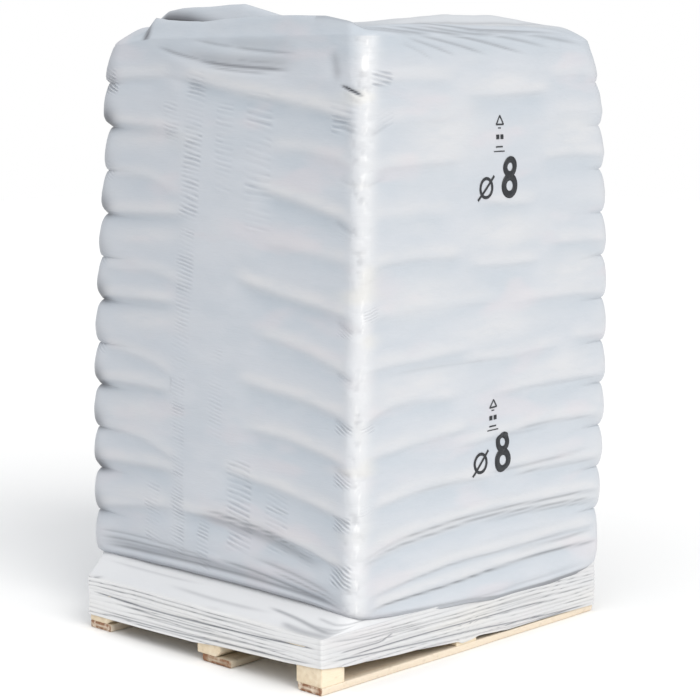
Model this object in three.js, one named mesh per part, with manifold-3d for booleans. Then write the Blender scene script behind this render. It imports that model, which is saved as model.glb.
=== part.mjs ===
// Pallet of sacks: twelve layers of filled plastic sacks on a wooden block pallet, under one stretch hood.
// Millimetres, +Z up. The origin is at the middle of the footprint of the whole load, on the floor.
// The pallet's long side runs along X and its short side along Y.

import * as THREE from 'three';
import Module from 'manifold-3d';
import { mergeVertices } from 'three/addons/utils/BufferGeometryUtils.js';

// Driving dimensions of the pallet
const PALLET_LENGTH = 1200;
const PALLET_WIDTH = 1000;
const PALLET_CENTRE = { x: -32.8, y: -69.7 };
const BOARD = 22;
const BLOCK_HEIGHT = 92;
const BLOCK_LENGTH = 90;
const BLOCK_WIDTH = 100;
const DECK_BOARDS = 7;
const DECK_BOARD_WIDTH = 105;
const STRINGER_WIDTH = 95;
const BOTTOM_BOARD_WIDTH = 95;
const MIDDLE_BOARD_WIDTH = 124;
const MIDDLE_BLOCK_SHIFT = -40;
const MIDDLE_BOARD_SHIFT = -72;
const DECK_TOP = 3 * BOARD + BLOCK_HEIGHT;

// Driving dimensions of the stack of sacks, measured at the pinched seams between the layers
const LAYERS = 12;
const STACK_X = 1096;
const STACK_Y = 1122;
const STACK_OFFSET = { x: 84, y: 75 };
const LAYER_HEIGHT = 132;
const FIRST_LAYER_HEIGHT = 168;
const BARREL = 20;
const TOP_TAPER = 36;
const LEAN = { x: 2.7, y: -1.6 };
const SACK_CROWN = 58;
const SACK_EDGE = 50;
const FIRST_SACK_CROWN = 76;
const FIRST_SACK_EDGE = 66;
const FIRST_SACK_INSET = 6;
const CORNER_RADIUS = 46;
const SACK_CORNER_RADIUS = 72;
const GROOVE_WIDTH = 64;
const GROOVE_DEPTH = 34;
const REST_GAP = 0.3;

// Driving dimensions of the hood
const FILM = 1;
const FILM_GAP = 0.6;
const BULGE = 17;
const PINCH_HEIGHT = 36;
const CROWN_RISE = 62;
const EAR = { x: -436, y: 66, rise: 70, width: 90, length: 330 };
const HUMP = { x: 184, y: -344, rise: 34, length: 330, width: 170 };
const HEM = { nearCorner: 74, leftCorner: 45, rightCorner: 24, backCorner: 55 };
const SKIRT_MIDDLE = 100;
const SHOULDER_RISE = 6;
const LEDGE_RISE = 4;
const CLEARANCE_UNDER_SACK = 4;

// Depths below the deck's top where the film leaves the pallet's side, and where it runs out under the sacks
const SIDE_END = 14;
const UNDER_START = 8;
const UNDER_END = 5;
const ARC_STEPS = 4;
const SIDE_STEPS = 6;
const SACK_ARC_STEPS = 3;
const BEVEL_STEPS = 2;

// Finishes
const FINISH = {
    planedPine: { color: 0xdcc49a, roughness: 0.85, metalness: 0 },
    greyPine: { color: 0xb9a98c, roughness: 0.9, metalness: 0 },
    sackFilm: { color: 0xe4e6ea, roughness: 0.5, metalness: 0 },
    hoodFilm: { color: 0xdfe3ea, roughness: 0.35, metalness: 0 },
};

const wasm = await Module();
wasm.setup();

function finish(name) {
    return new THREE.MeshStandardMaterial(FINISH[name]);
}

function toManifold(geometry) {
    const bare = geometry.index ? geometry.clone() : geometry;
    bare.deleteAttribute('normal');
    bare.deleteAttribute('uv');
    const merged = mergeVertices(bare, 1e-4);
    return new wasm.Manifold(new wasm.Mesh({
        numProp: 3,
        vertProperties: new Float32Array(merged.attributes.position.array),
        triVerts: new Uint32Array(merged.index.array),
    }));
}

function toGeometry(manifold) {
    const mesh = manifold.getMesh();
    const geometry = new THREE.BufferGeometry();
    geometry.setAttribute('position', new THREE.BufferAttribute(new Float32Array(mesh.vertProperties), 3));
    geometry.setIndex(new THREE.BufferAttribute(new Uint32Array(mesh.triVerts), 1));
    geometry.computeVertexNormals();
    return geometry;
}

function addMesh(group, name, geometry, material, x = 0, y = 0, z = 0) {
    const mesh = new THREE.Mesh(geometry, material);
    mesh.name = name;
    mesh.position.set(x, y, z);
    group.add(mesh);
}

// Pallet: deck boards and bottom boards along X, stringer boards across, blocks between them

function addPallet(group) {
    const pine = finish('planedPine');
    const grey = finish('greyPine');
    const pitch = (PALLET_WIDTH - DECK_BOARD_WIDTH) / (DECK_BOARDS - 1);
    for (let i = 0; i < DECK_BOARDS; i += 1) {
        const y = -(PALLET_WIDTH - DECK_BOARD_WIDTH) / 2 + i * pitch;
        const board = new THREE.BoxGeometry(PALLET_LENGTH, DECK_BOARD_WIDTH, BOARD);
        addMesh(group, `deck_board_${i + 1}`, board, pine, 0, y, DECK_TOP - BOARD / 2);
    }
    const alongSpan = (PALLET_LENGTH - BLOCK_LENGTH) / 2;
    const acrossSpan = (PALLET_WIDTH - BLOCK_WIDTH) / 2;
    const blockRows = [-acrossSpan, MIDDLE_BLOCK_SHIFT, acrossSpan];
    const boardRows = [
        { y: -(PALLET_WIDTH - BOTTOM_BOARD_WIDTH) / 2, width: BOTTOM_BOARD_WIDTH, material: pine },
        { y: MIDDLE_BOARD_SHIFT, width: MIDDLE_BOARD_WIDTH, material: grey },
        { y: (PALLET_WIDTH - BOTTOM_BOARD_WIDTH) / 2, width: BOTTOM_BOARD_WIDTH, material: pine },
    ];
    for (let along = 0; along < 3; along += 1) {
        const edge = (PALLET_LENGTH - STRINGER_WIDTH) / 2;
        const board = new THREE.BoxGeometry(STRINGER_WIDTH, PALLET_WIDTH, BOARD);
        const boardX = (along - 1) * edge;
        addMesh(group, `stringer_board_${along + 1}`, board, pine, boardX, 0, DECK_TOP - 1.5 * BOARD);
        const blockX = (along - 1) * alongSpan;
        for (let row = 0; row < 3; row += 1) {
            const block = new THREE.BoxGeometry(BLOCK_LENGTH, BLOCK_WIDTH, BLOCK_HEIGHT);
            const z = BOARD + BLOCK_HEIGHT / 2;
            addMesh(group, `block_${row + 1}${along + 1}`, block, pine, blockX, blockRows[row], z);
        }
    }
    boardRows.forEach((row, i) => {
        const board = new THREE.BoxGeometry(PALLET_LENGTH, row.width, BOARD);
        addMesh(group, `bottom_board_${i + 1}`, board, row.material, 0, row.y, BOARD / 2);
    });
}

// Stack: the seams' heights, and how the half sizes and the centre change from seam to seam

function seamHeight(k) {
    return k === 0 ? DECK_TOP : DECK_TOP + FIRST_LAYER_HEIGHT + (k - 1) * LAYER_HEIGHT;
}

function stackAt(k) {
    const t = k / LAYERS;
    const grow = BARREL * 4 * t * (1 - t) - TOP_TAPER * t;
    return {
        x: PALLET_CENTRE.x + STACK_OFFSET.x + LEAN.x * k,
        y: PALLET_CENTRE.y + STACK_OFFSET.y + LEAN.y * k,
        halfX: STACK_X / 2 + grow,
        halfY: STACK_Y / 2 + grow,
    };
}

function roundedRectangle(halfX, halfY, radius) {
    const shape = new THREE.Shape();
    shape.absarc(halfX - radius, halfY - radius, radius, 0, Math.PI / 2);
    shape.absarc(radius - halfX, halfY - radius, radius, Math.PI / 2, Math.PI);
    shape.absarc(radius - halfX, radius - halfY, radius, Math.PI, 1.5 * Math.PI);
    shape.absarc(halfX - radius, radius - halfY, radius, 1.5 * Math.PI, 2 * Math.PI);
    return shape;
}

// A wedge whose mouth is on the plane z = 0 and whose edge points down, running along Y
function wedge(length) {
    const section = new THREE.Shape([
        new THREE.Vector2(-GROOVE_WIDTH / 2, 1),
        new THREE.Vector2(0, -GROOVE_DEPTH),
        new THREE.Vector2(GROOVE_WIDTH / 2, 1),
    ]);
    const geometry = new THREE.ExtrudeGeometry(section, { depth: length, bevelEnabled: false });
    geometry.translate(0, 0, -length / 2);
    geometry.rotateX(Math.PI / 2);
    return geometry;
}

// The gap between two rows of sacks: grooves over the top, under the bottom and down both ends
function jointGrooves(halfLength, height, turn, shift) {
    const long = 2 * halfLength + 4;
    const over = wedge(long);
    over.translate(shift, 0, height);
    const under = wedge(long);
    under.rotateY(Math.PI);
    under.translate(shift, 0, 0);
    const ends = [-1, 1].map((side) => {
        const end = wedge(height + 4);
        end.rotateX(-side * Math.PI / 2);
        end.translate(shift, side * halfLength, height / 2);
        return end;
    });
    return [over, under, ...ends].map((geometry) => geometry.rotateZ(turn));
}

function sackLayer(k) {
    const low = stackAt(k - 1);
    const high = stackAt(k);
    const height = seamHeight(k) - seamHeight(k - 1) - REST_GAP;
    const inset = FILM + FILM_GAP + Math.abs(LEAN.x) + (k === 1 ? FIRST_SACK_INSET : 0);
    const halfX = Math.min(low.halfX, high.halfX) + BULGE - inset;
    const halfY = Math.min(low.halfY, high.halfY) + BULGE - inset;
    const crown = k === 1 ? FIRST_SACK_CROWN : SACK_CROWN;
    const edge = k === 1 ? FIRST_SACK_EDGE : SACK_EDGE;
    const body = new THREE.ExtrudeGeometry(roundedRectangle(halfX, halfY, SACK_CORNER_RADIUS), {
        depth: height - 2 * crown,
        bevelThickness: crown,
        bevelSize: edge,
        bevelOffset: -edge,
        bevelSegments: BEVEL_STEPS,
        curveSegments: SACK_ARC_STEPS,
    });
    body.translate(0, 0, crown);
    const acrossX = k % 2 === 1 ? 3 : 2;
    const acrossY = 5 - acrossX;
    const grooves = [];
    for (let i = 1; i < acrossX; i += 1) {
        grooves.push(...jointGrooves(halfY, height, 0, -halfX + (2 * halfX * i) / acrossX));
    }
    for (let i = 1; i < acrossY; i += 1) {
        grooves.push(...jointGrooves(halfX, height, Math.PI / 2, -halfY + (2 * halfY * i) / acrossY));
    }
    const cut = grooves.reduce((solid, groove) => solid.subtract(toManifold(groove)), toManifold(body));
    return { geometry: toGeometry(cut), x: (low.x + high.x) / 2, y: (low.y + high.y) / 2 };
}

function addSacks(group) {
    const material = finish('sackFilm');
    for (let k = 1; k <= LAYERS; k += 1) {
        const layer = sackLayer(k);
        const name = `sack_layer_${String(k).padStart(2, '0')}`;
        addMesh(group, name, layer.geometry, material, layer.x, layer.y, seamHeight(k - 1) + REST_GAP);
    }
}

// Hood: level outlines from the hem to the crown, each given by its height, four side planes and radius

function palletRing(z, out) {
    return {
        z,
        x0: PALLET_CENTRE.x - PALLET_LENGTH / 2 - out,
        x1: PALLET_CENTRE.x + PALLET_LENGTH / 2 + out,
        y0: PALLET_CENTRE.y - PALLET_WIDTH / 2 - out,
        y1: PALLET_CENTRE.y + PALLET_WIDTH / 2 + out,
        radius: 2.4,
        inset: FILM,
        drop: 0,
    };
}

function stackRing(k, z, out, radius = CORNER_RADIUS) {
    const s = stackAt(k);
    return {
        z,
        x0: s.x - s.halfX - out,
        x1: s.x + s.halfX + out,
        y0: s.y - s.halfY - out,
        y1: s.y + s.halfY + out,
        radius,
        inset: FILM,
        drop: 0,
    };
}

function hoodRings() {
    const palletOut = FILM + FILM_GAP;
    const foot = stackRing(0, 0, -2);
    const ledge = DECK_TOP + LEDGE_RISE;
    const underY = foot.y1 - FIRST_SACK_EDGE + BULGE + CLEARANCE_UNDER_SACK;
    const rings = [
        { ...palletRing(0, palletOut), hem: true },
        palletRing(SKIRT_MIDDLE, palletOut),
        { ...palletRing(DECK_TOP - SIDE_END, palletOut), drop: -FILM },
        { ...palletRing(DECK_TOP - UNDER_START, palletOut), y1: underY, drop: -FILM },
        { ...palletRing(DECK_TOP - UNDER_END, palletOut), x1: foot.x1, y1: foot.y1, drop: -FILM },
        { ...palletRing(ledge - 1, palletOut), x1: foot.x1, y1: foot.y1, drop: FILM },
        { ...stackRing(0, ledge, -2), drop: FILM },
        stackRing(0, DECK_TOP + PINCH_HEIGHT, 0),
    ];
    for (let k = 1; k <= LAYERS; k += 1) {
        const low = k === 1 ? DECK_TOP + PINCH_HEIGHT : seamHeight(k - 1);
        const high = seamHeight(k);
        [0.25, 0.75].forEach((t) => rings.push(stackRing(k - 1 + t, low + (high - low) * t, BULGE)));
        if (k < LAYERS) rings.push(stackRing(k, high, 0));
    }
    const crown = [
        [0.0, -2],
        [0.3, -40],
        [0.55, -110],
        [0.8, -230],
        [0.95, -390],
    ];
    crown.forEach(([rise, out], i) => {
        const ring = stackRing(LAYERS, seamHeight(LAYERS) + SHOULDER_RISE + rise * CROWN_RISE, out);
        rings.push({ ...ring, inset: i === 0 ? FILM : 0, drop: FILM });
    });
    return rings;
}

const COLUMNS = 4 * (ARC_STEPS + SIDE_STEPS);

// Point of a ring in one column: a corner arc, then the side that leads to the next corner
function ringPoint(ring, column, inset) {
    const quadrant = Math.floor(column / (ARC_STEPS + SIDE_STEPS)) % 4;
    const step = column % (ARC_STEPS + SIDE_STEPS);
    const radius = ring.radius;
    const x = [ring.x1 - radius, ring.x0 + radius, ring.x0 + radius, ring.x1 - radius];
    const y = [ring.y1 - radius, ring.y1 - radius, ring.y0 + radius, ring.y0 + radius];
    const arc = (corner, part) => {
        const angle = (corner + part) * Math.PI / 2;
        const centre = new THREE.Vector2(x[corner % 4], y[corner % 4]);
        const spoke = new THREE.Vector2(Math.cos(angle), Math.sin(angle));
        return centre.addScaledVector(spoke, radius - inset);
    };
    if (step <= ARC_STEPS) return arc(quadrant, step / ARC_STEPS);
    const from = arc(quadrant, 1);
    return from.lerp(arc(quadrant + 1, 0), (step - ARC_STEPS) / SIDE_STEPS);
}

// Height of the hem round the pallet, between the heights at its four corners
function hemHeight(x, y) {
    const u = THREE.MathUtils.clamp((x - PALLET_CENTRE.x) / PALLET_LENGTH + 0.5, 0, 1);
    const v = THREE.MathUtils.clamp((y - PALLET_CENTRE.y) / PALLET_WIDTH + 0.5, 0, 1);
    const near = HEM.nearCorner * (1 - u) + HEM.rightCorner * u;
    const far = HEM.leftCorner * (1 - u) + HEM.backCorner * u;
    return near * (1 - v) + far * v;
}

// Extra height of the loose film on top: a folded ear over the short face and a hump behind the long face
function topRelief(x, y) {
    const ear = Math.exp(-(((x - EAR.x) / EAR.width) ** 2) - ((y - EAR.y) / EAR.length) ** 4);
    const hump = Math.exp(-(((x - HUMP.x) / HUMP.length) ** 2) - ((y - HUMP.y) / HUMP.width) ** 2);
    return EAR.rise * ear + HUMP.rise * hump;
}

// Facets of the hood: the inner wall is split along the same diagonals as the outer one, so that the film
// keeps its thickness where it is folded
function hoodFacets(levels, last) {
    const index = [];
    for (let column = 0; column < COLUMNS; column += 1) {
        for (let i = 0; i < levels - 1; i += 1) {
            const a = column * levels + i;
            const b = a + levels;
            const c = b + 1;
            const d = a + 1;
            if (i <= last) index.push(a, b, d, c, d, b);
            else index.push(a, b, c, a, c, d);
        }
    }
    return index;
}

function hoodGeometry() {
    const rings = hoodRings();
    const top = seamHeight(LAYERS) + SHOULDER_RISE + CROWN_RISE;
    const last = rings.length - 1;
    const profile = [];
    rings.forEach((ring) => profile.push({ ring, inset: 0, z: ring.z }));
    profile.push({ z: top });
    profile.push({ z: top - FILM });
    for (let i = last; i >= 0; i -= 1) {
        profile.push({ ring: rings[i], inset: rings[i].inset, z: rings[i].z - rings[i].drop });
    }
    profile.push(profile[0]);
    const lathePoints = profile.map((level, i) => new THREE.Vector2(level.ring ? 1 : 0, i));
    const geometry = new THREE.LatheGeometry(lathePoints, COLUMNS);
    const position = geometry.attributes.position;
    const centre = stackAt(LAYERS);
    for (let column = 0; column <= COLUMNS; column += 1) {
        profile.forEach((level, i) => {
            const ring = level.ring;
            const outer = ring ? ringPoint(ring, column % COLUMNS, 0) : new THREE.Vector2(centre.x, centre.y);
            const point = ring ? ringPoint(ring, column % COLUMNS, level.inset) : outer;
            const onTop = !ring || ring.z > seamHeight(LAYERS);
            const rise = onTop ? topRelief(outer.x, outer.y) : 0;
            const z = ring && ring.hem ? hemHeight(point.x, point.y) : level.z + rise;
            position.setXYZ(column * profile.length + i, point.x, point.y, z);
        });
    }
    geometry.setIndex(hoodFacets(profile.length, last));
    geometry.deleteAttribute('normal');
    geometry.deleteAttribute('uv');
    const merged = mergeVertices(geometry, 1e-3);
    return toGeometry(toManifold(merged));
}

const pallet = new THREE.Group();
pallet.position.set(PALLET_CENTRE.x, PALLET_CENTRE.y, 0);
addPallet(pallet);

const load = new THREE.Group();
addSacks(load);
addMesh(load, 'stretch_hood', hoodGeometry(), finish('hoodFilm'));

const group = new THREE.Group();
group.add(pallet, load);

export default group;
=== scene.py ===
"""Looks of a pallet of sacks under a stretch hood: the film and its folds, the sacks, the pallet, the studio."""

import logging
import math
from dataclasses import dataclass, field
from enum import Enum

import bpy
import numpy as np
from mathutils import Matrix, Vector


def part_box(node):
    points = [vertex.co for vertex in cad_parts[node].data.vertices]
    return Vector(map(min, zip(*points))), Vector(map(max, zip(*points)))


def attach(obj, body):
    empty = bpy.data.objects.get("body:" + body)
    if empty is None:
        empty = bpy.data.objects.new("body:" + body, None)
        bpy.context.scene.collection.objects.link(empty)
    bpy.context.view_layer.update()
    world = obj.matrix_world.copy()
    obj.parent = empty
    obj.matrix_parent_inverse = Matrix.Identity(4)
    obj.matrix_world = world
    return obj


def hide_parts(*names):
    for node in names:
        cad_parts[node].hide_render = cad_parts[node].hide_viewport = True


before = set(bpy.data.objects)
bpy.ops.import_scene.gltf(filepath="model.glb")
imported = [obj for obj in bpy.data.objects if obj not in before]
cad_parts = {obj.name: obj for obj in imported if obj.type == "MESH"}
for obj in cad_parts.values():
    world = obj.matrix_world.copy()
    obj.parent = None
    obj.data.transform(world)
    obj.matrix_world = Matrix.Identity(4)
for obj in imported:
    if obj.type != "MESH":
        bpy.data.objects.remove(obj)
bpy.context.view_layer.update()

LOG = logging.getLogger("pallet_of_sacks")
MM = 0.001
BODY = "root"
TINY = 1e-6

Array = np.ndarray
Triple = tuple[float, float, float]
Pair = tuple[float, float]
Path = tuple[Pair, ...]
Sheet = tuple[Array, dict[str, Array]]
Piece = bpy.types.Object
Material = bpy.types.Material


# Plain number helpers

def ramp(low: float, high: float, value: Array) -> Array:
    """Smooth step: 0 below low, 1 above high, and 3t^2 - 2t^3 between."""
    t = np.clip((np.asarray(value, float) - low) / (high - low), 0.0, 1.0)
    return t * t * (3.0 - 2.0 * t)


def bell(value: Array, width: Array | float) -> Array:
    """A bell curve exp(-(value / width)^2)."""
    return np.exp(-np.square(np.asarray(value, float) / width))


def lattice(cell: Array, seed: int) -> Array:
    """Gives every whole-numbered cell its own number from 0 to 1, the same on each run.

    Args:
        cell: whole numbers, with the three coordinates in the last axis.
        seed: which set of numbers is wanted.

    Returns:
        One number for each cell.
    """
    n = cell.astype(np.int64)
    h = (n[..., 0] * 374761393 + n[..., 1] * 668265263 + n[..., 2] * 2147483647 + seed * 974634777) & 0xFFFFFFFF
    h = ((h ^ (h >> 13)) * 1274126177) & 0xFFFFFFFF
    return ((h ^ (h >> 16)) & 0xFFFF) / 65535.0


def cloud(points: Array, size: Triple | float, seed: int, octaves: int = 2) -> Array:
    """Smooth noise from -1 to 1: the eight lattice numbers round a point, blended by smooth steps.

    Args:
        points: places, with three coordinates in the last axis.
        size: the size of one blob, one number or one for each axis.
        seed: which noise is wanted.
        octaves: how many layers are added, each half as large and half as strong.

    Returns:
        One number for each point.
    """
    total = np.zeros(points.shape[:-1])
    weight = 0.0
    for octave in range(octaves):
        scaled = points / (np.asarray(size, float) / 2 ** octave)
        base = np.floor(scaled)
        part = scaled - base
        part = part * part * (3.0 - 2.0 * part)
        value = np.zeros(points.shape[:-1])
        for corner in range(8):
            step = np.array([corner & 1, corner >> 1 & 1, corner >> 2 & 1])
            share = np.prod(np.where(step == 1, part, 1.0 - part), axis=-1)
            value += share * lattice(base + step, seed + 31 * octave)
        total += (2.0 * value - 1.0) / 2 ** octave
        weight += 1.0 / 2 ** octave
    return total / weight


def plane_points(run: Array, height: Array) -> Array:
    """Stacks a run and a height with a third coordinate of nought, for noise on an unrolled face."""
    run, height = np.broadcast_arrays(run, height)
    return np.stack([run, height, np.zeros_like(run, float)], axis=-1)


# Meshes

def smooth_piece(name: str, points: Array, faces: list) -> Piece:
    """Makes one smoothly shaded object.

    Args:
        name: the object's name.
        points: an array of n by 3 in millimetres.
        faces: for each face the numbers of its points.

    Returns:
        The object, at the origin, in metres.
    """
    mesh = bpy.data.meshes.new(name)
    mesh.from_pydata((points * MM).tolist(), [], faces)
    mesh.polygons.foreach_set("use_smooth", np.ones(len(mesh.polygons), bool))
    piece = bpy.data.objects.new(name, mesh)
    bpy.context.scene.collection.objects.link(piece)
    return piece


def places_of(mesh: bpy.types.Mesh) -> Array:
    """A mesh's vertices in metres, as an array of n by 3."""
    raw = np.empty(len(mesh.vertices) * 3)
    mesh.vertices.foreach_get("co", raw)
    return raw.reshape(-1, 3)


def surface(
    name: str,
    points: Array,
    closed: bool = True,
    first_pole: Array | None = None,
    last_pole: Array | None = None,
    values: dict[str, Array] | None = None,
) -> Piece:
    """Makes one mesh object from a grid of points in millimetres.

    The quads join each point to its neighbours along and across the grid. Where a pole is given,
    triangles close the first or last row on it.

    Args:
        name: the object's name.
        points: an array of rows by columns by 3.
        closed: whether the last column joins the first.
        first_pole: the point that closes the first row.
        last_pole: the point that closes the last row.
        values: named numbers, one for each grid point, kept as attributes of the mesh.

    Returns:
        The object, at the origin, in metres.
    """
    rows, columns = points.shape[:2]
    index = np.arange(rows * columns).reshape(rows, columns)
    here = index if closed else index[:, :-1]
    there = np.roll(index, -1, axis=1) if closed else index[:, 1:]
    quads = np.stack([here[:-1], there[:-1], there[1:], here[1:]], axis=-1).reshape(-1, 4)
    faces = quads.tolist()
    flat = points.reshape(-1, 3)
    for pole, row, order in ((first_pole, 0, (1, 0)), (last_pole, -1, (0, 1))):
        if pole is not None:
            pair = (here[row].ravel(), there[row].ravel())
            tip = np.full_like(pair[0], len(flat))
            faces += np.stack([pair[order[0]], pair[order[1]], tip], axis=-1).tolist()
            flat = np.vstack([flat, np.asarray(pole, float)[None]])
    piece = smooth_piece(name, flat, faces)
    for key, value in (values or {}).items():
        full = np.full(len(flat), float(np.mean(value)), np.float32)
        full[: rows * columns] = np.broadcast_to(value, (rows, columns)).ravel()
        piece.data.attributes.new(key, "FLOAT", "POINT").data.foreach_set("value", full)
    piece.data.update()
    return piece


def joined(name: str, parts: list[Piece]) -> Piece:
    """Joins several mesh objects that sit at the origin.

    Args:
        name: the joined object's name.
        parts: the objects, which are used up.

    Returns:
        The joined object.
    """
    with bpy.context.temp_override(active_object=parts[0], selected_editable_objects=parts):
        bpy.ops.object.join()
    parts[0].name = name
    parts[0].data.name = name
    return parts[0]


def dress(
    piece: Piece,
    material: Material,
    nodes: tuple[str, ...] = (),
) -> Piece:
    """Gives a piece its material, its body and the nodes that it stands for.

    Args:
        piece: the object.
        material: its finish.
        nodes: the nodes that the piece takes the place of.

    Returns:
        The same object.
    """
    piece.data.materials.clear()
    piece.data.materials.append(material)
    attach(piece, BODY)
    if nodes:
        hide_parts(*nodes)
    LOG.info("%s: %d faces", piece.name, len(piece.data.polygons))
    return piece


# Shader maths

# Numbers of the colour sockets on a Mix node
MIX_SHARE, MIX_FIRST, MIX_SECOND, MIX_COLOUR = 0, 6, 7, 2


class Wire:
    """A value that travels between shader nodes; arithmetic on it adds Math nodes."""

    def __init__(self, shader: "Shader", socket: bpy.types.NodeSocket) -> None:
        """Keeps the shader that the value belongs to, and its socket."""
        self.shader = shader
        self.socket = socket

    def _math(self, operation: str, first: "Wire | float", second: "Wire | float" = 0.0) -> "Wire":
        """Adds one Math node of the given operation."""
        return self.shader.add("ShaderNodeMath", {"operation": operation}, {0: first, 1: second})

    def __add__(self, other: "Wire | float") -> "Wire":
        """Sum."""
        return self._math("ADD", self, other)

    __radd__ = __add__

    def __sub__(self, other: "Wire | float") -> "Wire":
        """Difference."""
        return self._math("SUBTRACT", self, other)

    def __rsub__(self, other: "Wire | float") -> "Wire":
        """Difference, with the number first."""
        return self._math("SUBTRACT", other, self)

    def __mul__(self, other: "Wire | float") -> "Wire":
        """Product."""
        return self._math("MULTIPLY", self, other)

    __rmul__ = __mul__

    def sine(self) -> "Wire":
        """Sine of the value."""
        return self._math("SINE", self)


class Shader:
    """One material, built node by node."""

    def __init__(self, name: str) -> None:
        """Starts an empty material with its output and the object's own coordinates.

        Args:
            name: the material's name.
        """
        self.material = bpy.data.materials.new(name)
        self.material.use_nodes = True
        self.tree = self.material.node_tree
        self.tree.nodes.clear()
        self.output = self.tree.nodes.new("ShaderNodeOutputMaterial")
        self.place = self.add("ShaderNodeTexCoord", out="Object")

    def add(
        self,
        kind: str,
        settings: dict | None = None,
        sockets: dict | None = None,
        out: int | str = 0,
    ) -> Wire:
        """Adds one node.

        Args:
            kind: the node's type.
            settings: its properties, set first.
            sockets: numbers, colours or wires for its inputs, by index or name.
            out: which output is wanted.

        Returns:
            A wire from that output.
        """
        node = self.tree.nodes.new(kind)
        for key, value in (settings or {}).items():
            setattr(node, key, value)
        for key, value in (sockets or {}).items():
            if isinstance(value, Wire):
                self.tree.links.new(value.socket, node.inputs[key])
            else:
                node.inputs[key].default_value = value
        return Wire(self, node.outputs[out])

    def stretched(self, stretch: Triple) -> Wire:
        """Object coordinates, each multiplied by its own number."""
        return self.add("ShaderNodeMapping", {}, {"Vector": self.place, "Scale": stretch})

    def noise(self, scale: float, stretch: Triple = (1, 1, 1), detail: float = 3.0, rough: float = 0.5) -> Wire:
        """Noise from 0 to 1 on stretched Object coordinates."""
        wanted = {"Vector": self.stretched(stretch), "Scale": scale, "Detail": detail, "Roughness": rough}
        return self.add("ShaderNodeTexNoise", {}, wanted)

    def attribute(self, name: str) -> Wire:
        """A number kept on the mesh."""
        return self.add("ShaderNodeAttribute", {"attribute_name": name}, out="Fac")

    def layered(self, base: Triple, layers: tuple[tuple[Wire, Triple], ...]) -> Wire:
        """Lays colours over a base, one after another.

        Args:
            base: the colour that lies under all of them.
            layers: for each its share, which the Mix node keeps from 0 to 1, and its colour.

        Returns:
            The colour that is seen.
        """
        seen = (*base, 1.0)
        for share, colour in layers:
            sockets = {MIX_SHARE: share, MIX_FIRST: seen, MIX_SECOND: (*colour, 1.0)}
            seen = self.add("ShaderNodeMix", {"data_type": "RGBA"}, sockets, out=MIX_COLOUR)
        return seen

    def remap(self, value: Wire, low: float, high: float, to_low: float = 0.0, to_high: float = 1.0) -> Wire:
        """Carries the span from low to high to another span, and holds it beyond its ends."""
        wanted = {"Value": value, "From Min": low, "From Max": high, "To Min": to_low, "To Max": to_high}
        return self.add("ShaderNodeMapRange", {"interpolation_type": "SMOOTHSTEP"}, wanted)

    def bump(self, height: Wire, distance: float, strength: float = 1.0, before: Wire | None = None) -> Wire:
        """Turns a height from 0 to 1 into a normal, over one made before it."""
        wanted = {"Height": height, "Distance": distance, "Strength": strength}
        if before is not None:
            wanted["Normal"] = before
        return self.add("ShaderNodeBump", {}, wanted)

    def finish(self, **sockets: Wire | float) -> Material:
        """Adds the principled shader with the sockets given by name, spaces written as underscores.

        Args:
            sockets: values or wires, such as Base_Color=colour.

        Returns:
            The finished material.
        """
        wanted = {key.replace("_", " "): value for key, value in sockets.items()}
        shader = self.add("ShaderNodeBsdfPrincipled", {}, wanted)
        self.tree.links.new(shader.socket, self.output.inputs["Surface"])
        return self.material


# Finishes

class Grain(Enum):
    """Which way the grain of a piece of wood runs."""

    ALONG_X = (0.06, 1.0, 1.0)
    ALONG_Y = (1.0, 0.06, 1.0)


@dataclass(frozen=True)
class PineFinish:
    """Rough sawn pine: growth lines along the grain, knots, a little dirt, and blotchy sawn ends."""

    name: str
    grain: Grain
    light: Triple = (0.86, 0.75, 0.58)
    dark: Triple = (0.66, 0.50, 0.31)
    dirt: Triple = (0.33, 0.25, 0.18)
    dirt_share: float = 0.25
    end_tint: Triple = (0.66, 0.50, 0.31)
    end_share: float = 0.35
    knot: Triple = (0.30, 0.15, 0.07)

    def material(self) -> Material:
        """Builds the material.

        Returns:
            A material on Object coordinates and the attribute end, which is 1 on sawn ends.
        """
        s = Shader(self.name)
        stretch = self.grain.value
        broad = s.noise(26.0, stretch, 2.0)
        lines = s.noise(160.0, stretch, 4.0, 0.6)
        fibre = s.noise(900.0, stretch, 2.0)
        speck = s.noise(55.0, (1, 1, 1), 4.0)
        end = s.attribute("end")
        grown = s.remap((broad * 9.0 + lines * 1.2).sine(), -0.4, 1.0)
        knots = s.add("ShaderNodeTexVoronoi", {}, {"Vector": s.stretched(stretch), "Scale": 22.0})
        colour = s.layered(self.light, (
            (grown * 0.55, self.dark),
            (s.remap(fibre, 0.35, 0.8) * 0.25, self.dark),
            (s.remap(knots, 0.10, 0.03) * 0.75, self.knot),
            (end * s.remap(speck, 0.25, 0.6) * self.end_share, self.end_tint),
            (s.remap(speck, 0.55, 0.8) * self.dirt_share, self.dirt),
        ))
        height = lines * 0.5 + fibre * 0.5
        return s.finish(
            Base_Color=colour,
            Roughness=s.remap(speck, 0.2, 0.8, 0.72, 0.92),
            Normal=s.bump(height, 0.0012, 0.55),
            Specular_IOR_Level=0.25,
        )


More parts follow.
